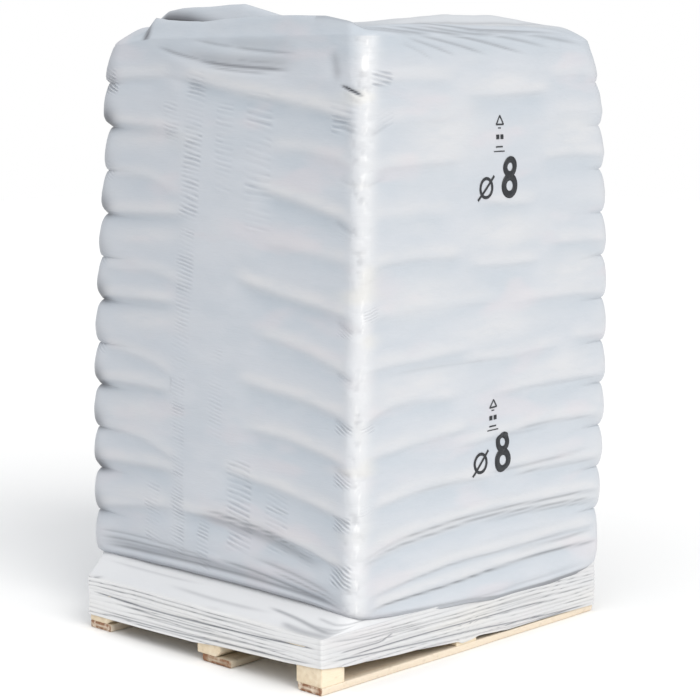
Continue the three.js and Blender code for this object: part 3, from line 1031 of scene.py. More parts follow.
# Pleats of the film's skirt, as paths on the deck's unrolled edge, their ink painted as shade in the pleat
SKIRT_PLEATS = [Fold(*row, finest=1.8) for row in (
    (((-990, 118), (-962, 114), (-793, 108), (-552, 110), (-368, 115), (-177, 122), (-10, 130)),
     6, -4.5, 0.3, 0.06, 1.35),
    (((-900, 97), (-769, 95), (-584, 94), (-380, 99)), 6, -3, 0.2, 0.2, 0.9),
    (((-270, 176), (-155, 172), (-50, 166), (40, 164)), 6, -4, 0.3, 0.2, 0.75),
    (((-960, 55), (-600, 62), (-376, 72), (-107, 80), (-5, 88)), 5, -3, 0, 0.1, 1.05),
    (((-800, 80), (-500, 82), (-250, 92), (-60, 104)), 6, -2.5, 0.2, 0.2, 0.6),
    (((-980, 140), (-700, 137), (-420, 138), (-160, 146)), 7, -3, 0.2, 0.25, 0.52),
    (((90, 92), (412, 92), (655, 86), (904, 84), (1011, 72)), 5, -3.5, 0.3, 0.1, 1.35),
    (((20, 92), (80, 88), (365, 70), (630, 57), (843, 42), (1060, 31), (1180, 27)),
     5, -3, 0.2, 0.06, 1.2),
    (((60, 108), (168, 106), (235, 105), (262, 116), (300, 128)), 5, -3.5, 0.2, 0.15, 1.05),
    (((120, 128), (288, 122), (475, 112), (700, 110), (1000, 104)), 7, -3, 0.2, 0.2, 0.6),
    (((10, 150), (120, 136), (260, 132), (420, 128)), 6, -3, 0.2, 0.2, 0.68),
    (((500, 100), (800, 104), (1150, 88)), 6, -2.2, 0.2, 0.3, 0.45),
    (((300, 52), (600, 44), (900, 30), (1150, 18)), 5, -2, 0.2, 0.2, 0.52),
    (((-1000, 182), (-760, 180), (-520, 183)), 7, -2, 0.2, 0.3, 0.3),
    (((-700, 170), (-430, 167), (-210, 170)), 6, -2, 0.2, 0.3, 0.36),
    (((-190, 164), (-90, 161), (30, 162)), 4, -2, 0.2, 0.2, 0.55),
    (((-140, 170), (-50, 167), (40, 169)), 4, -2, 0.2, 0.2, 0.48),
    (((-80, 179), (0, 175), (70, 176)), 4, -1.5, 0.2, 0.2, 0.45),
)]


# Height of the deep crease where the film is pulled in under the first layer, as runs and heights
CREASE_LINE = (
    (-2200, -1670, -1330, -1122, -950, -730, -380, -157, 0, 69, 180, 301, 458, 596, 804, 1065, 1110, 1220, 1640,
     2200),
    (176, 170, 176, 190, 203, 207, 208, 206, 192, 177, 166, 157, 150, 134, 134, 142, 152, 160, 172, 176),
)
# Height of the hem round the pallet, with the snagged tip on the long side, as runs and heights
HEM_LINE = (
    (-2200, -1637, -1300, -1000, -904, -522, -384, -107, -2, 87, 365, 556, 573, 610, 647, 672, 774, 1030, 1190, 1400,
     1800, 2200),
    (55, 50, 46, 40, 42, 50, 60, 71, 79, 67, 51, 38, 29, 31, 37, 36, 28, 26, 22, 34, 52, 55),
)
# Corner radii of the outline at the back, left, near and right corner, and what bulges and the shoulder add
SEAM_RADII = (46, 46, 30, 46)
BULGE_RADII = (12, 3, 3, 3)
SHOULDER_RADII = (34, 10, 26, 52)
# How sharply the film is pinched at the near, left, right and back corners, and how far from them
PINCHES = ((0.13, 55), (1, 115), (1, 100), (1, 120), (1, 120))
# The folded top, as places along a side and heights: a cuff's rim and flap, and the long side's roll and fold
RIM = ((-560, -525, -488, -387, -213, -51, 53, 117, 270, 322, 340, 360, 400, 430),
       (0, 10, 20, 36, 41, 38, 32, 28, 34, 42, 28, 10, 2, 0))
FLAP = ((-260, -200, -134, -53, 22, 115, 201, 289, 350, 376, 396), (0, 10, 28, 48, 66, 62, 58, 55, 46, 30, 0))
ROLL = ((-420, -347, -164, 161, 300, 400, 520), (0, 6, 12, 6, 3, 0, 0))
FOLD = ((-200, -136, -60, 117, 320, 450, 540, 600), (0, 3, 18, 29, 28, 14, 4, 0))
# Painted shade on the folded top, in the same way: behind the rim, its width, and behind the long side's roll
RIM_SHADE = ((-320, -200, -60, 70, 170, 220, 345, 372), (0, 0.7, 1, 1.2, 1.7, 2, 2, 0))
RIM_SHADE_WIDTH = ((60, 200, 330), (8, 16, 23))
BEHIND_ROLL = ((-330, -200, 0, 300, 480, 560), (0, 0.6, 0.75, 0.65, 0.5, 0))


def bent(first: Array, middle: Array | float, last: Array | float, t: Array) -> Array:
    """A curve from the first place to the last, drawn towards the middle: (1-t)^2 a + 2t(1-t) b + t^2 c."""
    return (1 - t) ** 2 * first + 2 * t * (1 - t) * middle + t ** 2 * last


def lopsided(value: Array, below: Array | float, above: Array | float) -> Array:
    """A bell curve with one width below nought and another above it."""
    return bell(value, np.where(value > 0, above, below))


@dataclass
class Hood:
    """The stretch film over the stack: an upper sheet, and a skirt gathered round the deck."""

    stack: Stack = field(default_factory=Stack)
    deck: Deck = field(default_factory=Deck)
    layer_rows: tuple[int, ...] = (32, 25, 21, 21, 21, 21, 21, 21, 21, 21, 24, 33)
    foot_rows: int = 5
    crown_rows: int = 76
    crown_rise: float = 46.0
    shoulder_rise: float = 34.0
    ledge_rows: int = 26
    side_rows: int = 48
    off_deck: float = 2.2
    pleat_height: float = 13.0
    level: float = 14.0
    seed: int = 5

    def __post_init__(self) -> None:
        """Lays out the columns of both sheets."""
        self.loop = Loop((7, 12, 20, 12), (24, 92, 78, 24))
        self.skirt_loop = Loop((10, 14, 18, 14), (40, 120, 130, 40))
        self.length_x = 2 * self.stack.half_x
        self.length_y = 2 * self.stack.half_y

    def corner_runs(self) -> list[float]:
        """Runs of the near, left, right and back corners."""
        back = self.length_x + self.length_y
        return [0, -self.length_y, self.length_x, back, -back]

    def pinch_share(self, run: Array) -> Array:
        """How sharply the film is pinched into the seams: hardly at the near corner, fully at the others."""
        pairs = zip(self.corner_runs(), PINCHES)
        return np.max([strength * bell(run - c, width) for c, (strength, width) in pairs], axis=0)

    def seam_wobble(self, k: int, run: Array) -> Array:
        """How far a seam wanders up and down round the stack: noise, calmer at the corners."""
        return self.flat_noise(run, 97 * k, (230, 40), k, 2) * (7 - 5 * self.pinch_share(run))

    def flat_noise(self, run: Array, height: Array, size: Pair, key: int, octaves: int) -> Array:
        """Noise on the unrolled film.

        Args:
            run: distance round the film.
            height: height on the film.
            size: one blob's size along the run and up.
            key: which of the hood's noises is wanted.
            octaves: how many layers of noise are added.

        Returns:
            A number from -1 to 1 for each point.
        """
        return cloud(plane_points(run, height), (*size, 1), self.seed + key, octaves)

    def far_spans(self) -> list[Span]:
        """Lays out the spans of the two far faces, seeded.

        Returns:
            Three spans to each seam, deep and shallow by turns, as the sacks lie.
        """
        rng = np.random.default_rng(self.seed)
        spans = []
        for start, length in ((self.length_x, self.length_y), (-self.length_x - self.length_y, self.length_x)):
            for k in range(1, self.stack.layers):
                z = self.stack.seam(k)
                for third in range(3):
                    first, last = third == 0, third == 2
                    low = start + length * third / 3 - (0 if first else 60)
                    high = start + length * (third + 1) / 3 + (0 if last else 60)
                    depth = rng.uniform(6, 8.5) if (k + third) % 2 else rng.uniform(2, 3.5)
                    rise = [rng.uniform(*((4, 14) if edge else (20, 42))) for edge in (first, False, last)]
                    path = ((low, z + rise[0]), ((low + high) / 2, z + rise[1]), (high, z + rise[2]))
                    fades = (40 if first else 120, 40 if last else 120)
                    spans.append(Span(path, depth, rng.uniform(18, 26), fades))
        return spans

    def soft_folds(self) -> list[Fold]:
        """Scatters folds over all faces, seeded.

        Returns:
            Long, shallow folds, three to each seam and face.
        """
        rng = np.random.default_rng(self.seed + 4)
        folds = []
        for k in range(1, self.stack.layers):
            z = self.stack.seam(k)
            for start in (-2150, -1080, 60, 1150):
                for _ in range(3):
                    low = start + rng.uniform(30, 560)
                    length = rng.uniform(160, 420)
                    height = z + rng.uniform(-30, 90)
                    drop = rng.uniform(-30, 4) if start < 0 else rng.uniform(-12, 14)
                    path = ((low, height), (low + length / 2, height + drop * 0.6), (low + length, height + drop))
                    rise = rng.uniform(-2, 1.4) * (0.6 if start == 60 else 1)
                    folds.append(Fold(path, rng.uniform(9, 18), rise, 0.2, 0.45))
        return folds

    def ripples(self, run: Array, z: Array) -> tuple[Array, Array]:
        """Lays out the patches of fine creases.

        Each point takes its phase from the patch that it is nearest to, so the phase runs on past
        the patch's rim, and a broken noise lets the creases come and go.

        Args:
            run: distance round the film.
            z: height.

        Returns:
            The phase in radians, and a share from 0 to 1.
        """
        closest = np.full(run.shape, np.inf)
        phase, share = np.zeros(run.shape), np.zeros(run.shape)
        for ripple in RIPPLES:
            away, turn, part = ripple.apply(run, z)
            mine = away < closest
            closest = np.where(mine, away, closest)
            phase, share = np.where(mine, turn, phase), np.where(mine, part, share)
        broken = 0.25 + 0.75 * ramp(-0.35, 0.30, self.flat_noise(run, z, (130, 42), 71, 2))
        single = 0.45 + 0.75 * ramp(-0.45, 0.35, self.flat_noise(run, z, (52, 15), 73, 1))
        drift = 2.3 * self.flat_noise(run, z, (110, 46), 72, 2)
        return phase + drift, share * broken * single

    def drape(self, run: Array, z: Array, film: tuple[Array, Array, Array]) -> tuple[Array, Array, Array]:
        """Adds all spans and the bands of painted light to the film.

        Args:
            run: distance round the film.
            z: height.
            film: the outward distance, the share over hollows with painted shade and the share on sacks with painted
                light so far.

        Returns:
            The same three numbers, with the spans and bands in them.
        """
        out, hollow_and_shade, touch_and_light = film
        for span in SHORT_FACE_SPANS + LONG_FACE_SPANS + self.far_spans():
            # Painted shade in the groove under each span's line, and painted light over it where the film lies on a
            # sack
            lift, empty, lies = span.apply(run, z)
            out = out + lift
            share = min(span.depth / FULL_DEPTH, 1)
            hollow_and_shade = np.maximum(hollow_and_shade, empty * (0.35 + 0.65 * share))
            touch_and_light = np.maximum(touch_and_light, lies * (0.30 + 0.55 * share))
        # Bands of painted light on the sacks' shoulders, where the film also stands out a little
        for at, height, half_run, half_height in PALE_BANDS:
            slant = height + 0.05 * (run - at)
            band = bell(run - at, half_run) * bell(z - slant, 1.6 * half_height)
            touch_and_light = np.maximum(touch_and_light, 0.75 * band)
            out = out + 1.2 * band
        return out, hollow_and_shade, touch_and_light

    def undersides(self, past: Array, z: Array) -> Array:
        """Painted shade on the film over the left corner, round the seams.

        Each seam has a bell of its own strength, wider above the seam than under it. On the far
        face it is flatter, and it runs on further.

        Args:
            past: distance past the corner, negative on the far face.
            z: height.

        Returns:
            The share of painted shade.
        """
        reach = np.where(past > 0, bell(past, 40), 0.55 * bell(past, 44) + 0.45 * bell(past, 210))
        low = 1 - 0.55 * ramp(0, -60, past)
        dark = np.zeros(z.shape)
        for k, strength in enumerate(UNDERSIDES):
            above = z - self.stack.seam(k) - 8 * low
            crease = lopsided(above, 14 * low, 46 * low) * reach
            dark = np.maximum(dark, 1.35 * strength * crease)
        return dark

    def relief(self, run: Array, z: Array, part: Array) -> Sheet:
        """How far the film stands out over the seams' outline, and what lies under it.

        In the middle of a face the film is nearly even, at one level. Towards a corner it follows
        the sacks: 19.5 (4p(1 - p))^0.55 with p the share of the layer's height, moved down a
        little because a sack sags, with painted shade in the pinched seams and painted light on the
        bulges. Spans and folds are added to that. The film over the left corner gets painted shade
        round the seams, as the table of undersides gives for each, and painted shade also lies along
        the foot, in the near corner's crinkles and on the shoulder.

        Args:
            run: distance round the film.
            z: height.
            part: share of the layer's height, from 0 to 1.

        Returns:
            Outward distance in millimetres, and six named numbers: the share over hollows with painted shade, the
            share on sacks with painted light, creases with painted shade, reeds, their phase, and shade.
        """
        pinch = self.pinch_share(run)
        sag = part + 0.10 * np.sin(math.pi * part)
        shape = np.clip(4 * sag * (1 - np.clip(sag, 0, 1)), 0, 1)
        uneven = self.flat_noise(run, z, (330, 150), 17, 2)
        out = (1 - pinch) * (self.level + 2.6 * uneven) + pinch * (19.5 * shape ** 0.55)
        # Painted shade in the pinched seams, painted light on the sacks' bulges
        hollow_and_shade, touch_and_light = pinch * (1 - shape ** 0.6) * 0.8, 0.5 * pinch * shape
        out, hollow_and_shade, touch_and_light = self.drape(run, z, (out, hollow_and_shade, touch_and_light))
        rise, dark = fold_sum(SHORT_FACE_FOLDS + LONG_FACE_FOLDS + self.soft_folds(), run, z)
        phase, reed = self.ripples(run, z)
        crumple = self.flat_noise(run, z, (150, 26), 19, 2)
        crinkle = self.flat_noise(run, z, (26, 20), 21, 3) * bell(run, 42)
        knot = self.flat_noise(run, z, (60, 44), 22, 2) * bell(run, 60)
        out = out + rise + 0.9 * crumple - 0.5 * reed * np.sin(phase) + 3 * crinkle + 3.4 * knot
        # Painted shadow along the foot, where the film turns in under the overhang
        over_foot = z - np.interp(run, *CREASE_LINE) - 7 * ramp(60, 300, run)
        foot = 1 - ramp(0, 8, over_foot)
        dark = np.maximum(dark, foot * (0.5 + 0.45 * ramp(300, 900, run) * (1 - ramp(1085, 1100, run))))
        # Painted shade in the near corner's crinkles and on the left corner's undersides
        dark = np.maximum(dark, 0.26 * bell(run + 6, 34) * ramp(0.15, 0.6, -crinkle))
        past = run + 2 * self.stack.outline(z)[3] - 22
        dark = np.maximum(dark, self.undersides(past, z))
        shade = 0.55 * ramp(-420, -980, run) * ramp(-1400, -1130, run) + 0.35 * bell(past, 30)
        # Painted shade on the top's shoulder
        shoulder = ramp(1690, 1765, z)
        hollow_and_shade = np.maximum(hollow_and_shade, 0.75 * shoulder + 0.25 * ramp(0, 0.5, -uneven))
        values = {"hollow_and_shade": hollow_and_shade, "touch_and_light": touch_and_light * (1 - shoulder), "shade": shade}
        values = {key: np.clip(value, 0, 1) for key, value in values.items()}
        return out, values | {"crease": dark, "reed": reed, "phase": phase}

    def ladder(self) -> tuple[Array, Array]:
        """Lays out the wall's rows, which lie closer together near the seams.

        Returns:
            For each row its share of its layer's height, and its layer.
        """
        part, layer = [], []
        for k, rows in enumerate(self.layer_rows):
            u = np.arange(rows) / rows
            part += (u - 0.045 * np.sin(2 * math.pi * u)).tolist()
            layer += [k] * rows
        return np.array(part + [1.0]), np.array(layer + [self.stack.layers - 1])

    def seam_lines(self, run: Array) -> Array:
        """Heights of the crease and of all seams at each column; the top one sinks at two corners.

        Args:
            run: each column's run.

        Returns:
            An array of lines by columns.
        """
        seams = self.stack.seams()
        lines = [np.interp(run, *CREASE_LINE)]
        lines += [seams[k] + self.seam_wobble(k, run) for k in range(1, len(seams))]
        lines[-1] -= 18 * bell(run - self.length_x, 130) + 24 * bell(run + self.length_y, 130)
        return np.array(lines)

    def upright(self) -> tuple[Array, Array, dict[str, Array]]:
        """Works out the wall of the upper sheet, from the crease to the shoulder.

        Its rows climb from seam line to seam line, and it stands off the seams' outline by its
        relief. The wall leans out at the top of the left corner, and over the first layer's seam
        on the long face it hangs over.

        Returns:
            The points, each one's run, and the named numbers that the film's finish reads.
        """
        stack, loop = self.stack, self.loop
        part, layer = self.ladder()
        nominal = np.interp(layer + part, range(stack.layers + 1), stack.seams())[:, None]
        outline = stack.outline(nominal)
        bulge = np.sqrt(np.clip(4 * part * (1 - part), 0, 1))[:, None]
        radius = loop.by_corner(SEAM_RADII) + loop.by_corner(BULGE_RADII) * bulge
        radius = radius + loop.by_corner(SHOULDER_RADII) * ramp(1590, 1790, nominal)
        ring = loop.ring(outline, radius)
        run = loop.run(outline, radius, ring)
        lines = self.seam_lines(run[0])
        z = lines[layer] + (lines[layer + 1] - lines[layer]) * part[:, None]
        part = np.broadcast_to(part[:, None], z.shape)
        out, values = self.relief(run, z, part)
        rough = cloud(np.concatenate([ring, z[..., None]], axis=-1), (90, 90, 34), self.seed + 3, 3)
        overhang = bell(z - 165, 55) * ramp(60, 460, run) * (1 - ramp(990, 1110, run))
        out = out + 22 * bell(run + self.length_y, 190) * ramp(1430, 1640, z)
        for k in range(2, stack.layers - 1, 2):
            out = out - 7 * bell(run + self.length_y, 120) * bell(z - stack.seam(k) - 6, 16)
        turned_in = (1 - ramp(0, 0.10, part)) * (layer == 0)[:, None]
        out = out + 1.1 * rough + 17 * overhang - 5 * turned_in
        return np.concatenate([ring + loop.normal * out[..., None], z[..., None]], axis=-1), run, values

    def tints(self, points: Array, run: Array) -> dict[str, Array]:
        """Where the upper sheet is warmer, and where light is painted on it: along the near corner, with glints and a
        bright highlight, and on top.

        Args:
            points: the whole sheet.
            run: the wall's runs.

        Returns:
            The numbers for warmth and for painted light.
        """
        wall_end = self.foot_rows + len(run)
        edge = np.full(points.shape[:2], 0.1)
        edge[:wall_end] = np.vstack([np.repeat(run[:1], self.foot_rows, axis=0), run])
        rows = np.arange(len(edge))[:, None]
        on_wall = rows < wall_end
        patches = cloud(points, (150, 150, 60), self.seed + 41, 2)
        # Painted highlights along the near corner: glints and one bright highlight up high
        glint = ramp(0, 0.65, self.flat_noise(edge, points[..., 2], (9, 26), 43, 3)) * bell(edge - 4, 15)
        highlight_streak = bell(edge - 2, 9) * bell(points[..., 2] - 1706, 24)
        # Painted light on the top, away from the short face
        top = ramp(10, 25, rows - wall_end) * ramp(-320, -60, points[..., 0])
        return {
            "warm": 0.55 * ramp(0.15, 0.6, patches) * bell(edge, 60) * on_wall + 0.08 * ramp(0.2, 0.8, patches),
            "painted_light": (0.95 * bell(edge - 8, 36) + 0.45 * glint + highlight_streak) * on_wall + 0.5 * top,
        }

    def upper(self) -> Sheet:
        """Works out the upper sheet's grid.

        Rows climb from the foot, where the film turns in behind the crease, up the wall to the
        shoulder; then they run over the crown towards the pole, each ring a smaller copy of the
        shoulder's, at a height that a dome and the folded top give.

        Returns:
            The points, and the named numbers that the film's finish reads.
        """
        wall, run, wall_values = self.upright()
        pad = self.foot_rows
        foot = np.repeat(wall[:1], pad, axis=0)
        foot[..., :2] -= self.loop.normal * np.linspace(16, 2, pad)[:, None, None]
        foot[..., 2] += np.linspace(-1, -4, pad)[:, None]
        crown, crown_dark = self.crown(wall[-1])
        points = np.concatenate([foot, wall, crown])
        step = np.arange(len(crown_dark))[:, None]
        # Painted shade over the top, and in the folded top's recesses
        over_top = {"hollow_and_shade": 0.75 - 0.3 * ramp(8, 24, step), "crease": crown_dark}
        values = self.tints(points, run)
        for key, rows in wall_values.items():
            crest = np.broadcast_to(over_top.get(key, 0.0), crown_dark.shape)
            values[key] = np.concatenate([np.repeat(rows[:1], pad, axis=0), rows, crest])
        LOG.info("upper film: %d rows, %d columns", *points.shape[:2])
        self.wall, self.wall_run = wall, run
        return points, values

    def crown_height(self, x: Array, y: Array) -> tuple[Array, Array]:
        """Extra height of the folded top over the plain dome, and where painted shade lies on it.

        A folded cuff stands along the short face's shoulder: a front rim, a hollow behind it and a
        rear flap with its own peak. Along the long face lies a low front roll, and behind it a
        broader, higher fold.

        Args:
            x: places in x.
            y: places in y.

        Returns:
            The height in millimetres, and the share of painted shade.
        """
        rim = np.interp(y, *RIM) * lopsided(x + 424, 20.0, 16.0)
        flap = np.interp(y, *FLAP) * lopsided(x + 345, 30.0, 62.0)
        roll = np.interp(x, *ROLL) * bell(y + 516, 26)
        fold = np.interp(x, *FOLD) * lopsided(y + 350, 52, 120)
        # Painted shade behind the rim, at its left end and behind the roll
        painted_shade = np.interp(y, *RIM_SHADE) * bell(x + 392 - 0.03 * y, np.interp(y, *RIM_SHADE_WIDTH))
        painted_shade = np.maximum(painted_shade, 1.3 * bell(x + 440, 14) * bell(y - 346, 12))
        painted_shade = np.maximum(painted_shade, 0.55 * np.interp(x, *BEHIND_ROLL) * bell(y + 414, 11))
        return rim + flap + roll + fold, painted_shade

    def top_folds(self) -> list[Fold]:
        """Scatters slack folds over the top, seeded.

        Returns:
            Folds whose paths are places of (x, y); most run along the load's sides.
        """
        rng = np.random.default_rng(self.seed + 9)
        folds = []
        for _ in range(26):
            x, y = rng.uniform(-250, 470), rng.uniform(-330, 440)
            turn = rng.choice([0.0, math.pi / 2]) + rng.normal(0.0, 0.35)
            reach = rng.uniform(60, 190)
            step = np.array([math.cos(turn), math.sin(turn)]) * reach
            bend = rng.uniform(-30, 30)
            path = ((x - step[0], y - step[1]), (x - bend * math.sin(turn), y + bend * math.cos(turn)),
                    (x + step[0], y + step[1]))
            folds.append(Fold(path, rng.uniform(11, 22), rng.uniform(-4, 6), 0.3, 0.45))
        return folds

    def crown(self, shoulder: Array) -> tuple[Array, Array]:
        """Works out the rings over the top, inside the shoulder's ring.

        With s from 0 at the shoulder to 1 at the pole, the ring's points move towards the centre by
        s, and the height follows a rounded shoulder (1 - (1 - r)^2) ^ 0.5 over the first stretch,
        then a slow dome.

        Args:
            shoulder: the shoulder ring's points.

        Returns:
            The points and the share of painted shade.
        """
        s = np.linspace(0, 1, self.crown_rows + 2)[1:-1] ** 1.6
        centre = np.array([self.stack.centre[0] + 20, self.stack.centre[1] - 18, 0.0])
        flat = shoulder[None] + (centre - shoulder[None]) * s[:, None, None]
        x, y = flat[..., 0], flat[..., 1]
        inward = s[:, None] * 530
        shoulder_rise = self.shoulder_rise * np.sqrt(1 - np.square(1 - np.clip(inward / 95, 0, 1)))
        dome = (self.crown_rise - self.shoulder_rise) * ramp(0, 420, inward)
        height, painted_shade = self.crown_height(x, y)
        # Painted shade lines where creases come over the shoulder
        for low_x, high_x, start, strength in SHOULDER_CREASES:
            t = np.clip((x - low_x) / (high_x - low_x), 0, 1)
            path = start * np.square(1 - t) + 2
            share = strength * ramp(0, 0.3, t) * (1 - ramp(0.65, 1, t)) * (y < -350)
            painted_shade = np.maximum(painted_shade, share * bell(inward - path, 3.2))
        height = height + fold_sum(self.top_folds(), x, y)[0]
        wave = self.flat_noise(x, y, (120, 160), 23, 3)
        edge = np.mean(shoulder[:, 2]) * ramp(0, 70, inward) + shoulder[:, 2] * (1 - ramp(0, 70, inward))
        z = edge + shoulder_rise + dome + height * ramp(0, 20, inward) + 4.5 * wave * ramp(10, 90, inward)
        return np.stack([x, y, z], axis=-1), painted_shade

    def skirt_path(self) -> tuple[Array, Array, Array]:
        """Works out the skirt without its pleats.

        Each column is a curve with four stages: out from under the first layer, down and along to
        the deck's edge, over the edge, and down the pallet's side to the hem. The outline blends
        from the stack's to the pallet's.

        Returns:
            The points, each one's run, and for each row its share of lying on the pallet's side.
        """
        loop, stack, deck = self.skirt_loop, self.stack, self.deck
        below = stack.outline(np.full((1, 1), stack.deck_top + 40.0))
        radius = np.full((1, 1), stack.corner)
        inner = loop.ring(below, radius)
        crease = np.interp(loop.run(below, radius, inner)[0], *CREASE_LINE)
        inner = inner[0]
        cx, cy, hx, hy, radius = (np.full((1, 1), v) for v in (*deck.centre, deck.half_x, deck.half_y, deck.corner))
        outer = loop.ring((cx, cy, hx + self.off_deck, hy + self.off_deck), radius)
        run = loop.run((cx, cy, hx, hy), radius, outer)[0]
        outer = outer[0]
        share = np.linspace(0, 1, self.ledge_rows)[:, None] ** 0.9
        start, control = inner - loop.normal * 7, inner + (outer - inner) * 0.30
        rim = deck.top + 2
        span = bent(start, control, outer, share[..., None])
        z = bent(np.minimum(crease + 4, 200), rim + 6, rim, share)
        ledge = np.concatenate([span, z[..., None]], axis=-1)
        drop = rim + (np.interp(run, *HEM_LINE) - rim) * np.linspace(0, 1, self.side_rows + 1)[1:, None]
        side = np.concatenate([np.broadcast_to(outer, (self.side_rows, loop.size, 2)), drop[..., None]], axis=-1)
        points = np.concatenate([ledge, side])
        on_side = np.concatenate([ramp(0.86, 1, share), np.ones((self.side_rows, 1))])
        return points, np.broadcast_to(run, points.shape[:2]), on_side

    def skirt(self) -> Sheet:
        """Works out the skirt's grid, from behind the crease over the deck's edge to the hem.

        Pleats run round it: with w the height made wavy by noise and p a pleat's height, each is
        |sin(pi w / p)|^0.8, so it is round with a sharp valley.

        Returns:
            The points, and the named numbers that the film's finish reads.
        """
        points, run, on_side = self.skirt_path()
        height = points[..., 2]
        rise, dark = fold_sum(SKIRT_PLEATS, run, height)
        wavy = height + 15 * self.flat_noise(run, height, (430, 70), 51, 3) + 0.012 * np.abs(run)
        pleat = np.abs(np.sin(math.pi * wavy / self.pleat_height)) ** 0.8
        drawn = 0.25 + 0.75 * ramp(-0.45, 0.35, self.flat_noise(run, height, (330, 30), 52, 2))
        small = self.flat_noise(run, height, (170, 12), 53, 2)
        out = 2.2 + rise + (4.2 * pleat - 1.2) * drawn + 1.2 * small
        points[..., :2] += self.skirt_loop.normal * (out * on_side)[..., None]
        # Painted shade in the pleats' valleys
        valley = (1 - pleat) ** 3.4 * drawn
        # Painted light: the ledge on top and the short side are lighter
        short_side = ramp(40, -40, run) * ramp(-1150, -1070, run)
        blotch = ramp(-0.1, 0.7, cloud(points, (300, 300, 60), self.seed + 59, 2))
        values = {
            "hollow_and_shade": 0.1,
            "touch_and_light": 0.6,
            "painted_light": np.clip(1.3 * (1 - on_side) + 1.2 * short_side + 0.4 * on_side, 0, 1.3),
            "shade": 0.0,
            "crease": np.maximum(dark, 1.05 * valley * on_side),
            "reed": 0.0,
            "phase": 0.0,
            "warm": (0.25 + 0.5 * blotch) * on_side,
        }
        return points, {key: np.broadcast_to(value, run.shape) for key, value in values.items()}

    def build(self, film: Material, band: Material) -> list[Piece]:
        """Args:
            film: the upper film's finish.
            band: the skirt's finish.

        Returns:
            The two pieces.
        """
        points, values = self.upper()
        pole = points[-1].mean(axis=0) + np.array([0.0, 0.0, 0.5])
        upper = surface("hood_film", points, last_pole=pole, values=values)
        dress(upper, film, ("stretch_hood",))
        points, values = self.skirt()
        skirt = surface("hood_skirt", points[::-1], values={key: value[::-1] for key, value in values.items()})
        dress(skirt, band)
        return [upper, skirt]

    def on_long_face(self, run: Array, z: Array, proud: float) -> Array:
        """Places points on the film of the long face, a little proud of it.

        The two grid rows and columns beside a point are blended by its share between them.

        Args:
            run: distance from the near corner, one-dimensional.
            z: height, one-dimensional.
            proud: how far the points stand off the film.

        Returns:
            The points, as an array of n by 3.
        """
        face = np.flatnonzero((self.loop.corner == 2) & (self.loop.part > 0))
        grid = self.wall[:, face]
        runs = self.wall_run[:, face]
        middle = runs[len(runs) // 2]
        column = np.clip(np.searchsorted(middle, run) - 1, 0, len(middle) - 2)
        row = np.argmin(np.where(grid[:, column, 2] <= z, z - grid[:, column, 2], np.inf), axis=0)
        row = np.clip(row, 0, len(grid) - 2)
        u = (run - runs[row, column]) / (runs[row, column + 1] - runs[row, column])
        low, high = grid[row, column, 2], grid[row + 1, column, 2]
        v = (z - low) / (high - low)
        u, v = u[:, None], v[:, None]
        a, b, c, d = grid[row, column], grid[row, column + 1], grid[row + 1, column], grid[row + 1, column + 1]
        place = (1 - v) * ((1 - u) * a + u * b) + v * ((1 - u) * c + u * d)
        return place + np.array([0.0, -proud, 0.0])


# The print

@dataclass(frozen=True)
class Stroke:
    """A line of ink: a path of (across, up) points in millimetres, its width, and whether it closes."""

    path: Path
    width: float
    closed: bool = False

    def grid(self, steps: int = 64, across: int = 3) -> Array:
        """Carries the line's width along its path.

        The path is walked at even steps, and each point gets copies to both sides along the
        path's own normal.

        Args:
            steps: points along the line.
            across: points over its width.

        Returns:
            An array of steps by across by 2.
        """
        line = np.array(self.path, float)
        if self.closed:
            line = np.vstack([line, line[:1]])
        lengths = np.concatenate([[0], np.cumsum(np.linalg.norm(np.diff(line, axis=0), axis=1))])
        t = np.linspace(0, lengths[-1], steps, endpoint=not self.closed)
        walk = np.stack([np.interp(t, lengths, line[:, i]) for i in range(2)], axis=-1)
        if self.closed:
            ahead, behind = np.roll(walk, -1, axis=0), np.roll(walk, 1, axis=0)
        else:
            ahead, behind = np.vstack([walk[1:], walk[-1:]]), np.vstack([walk[:1], walk[:-1]])
        direction = ahead - behind
        direction /= np.linalg.norm(direction, axis=1, keepdims=True)
        normal = np.stack([-direction[:, 1], direction[:, 0]], axis=-1)
        offsets = np.linspace(-0.5, 0.5, across) * self.width
        return walk[:, None] + normal[:, None] * offsets[None, :, None]


def ellipse(x: float, y: float, rx: float, ry: float) -> Path:
    """Forty-eight points of an ellipse round (x, y)."""
    angle = np.linspace(0, 2 * math.pi, 48, endpoint=False)
    return tuple(zip((x + rx * np.sin(angle)).tolist(), (y + ry * np.cos(angle)).tolist()))


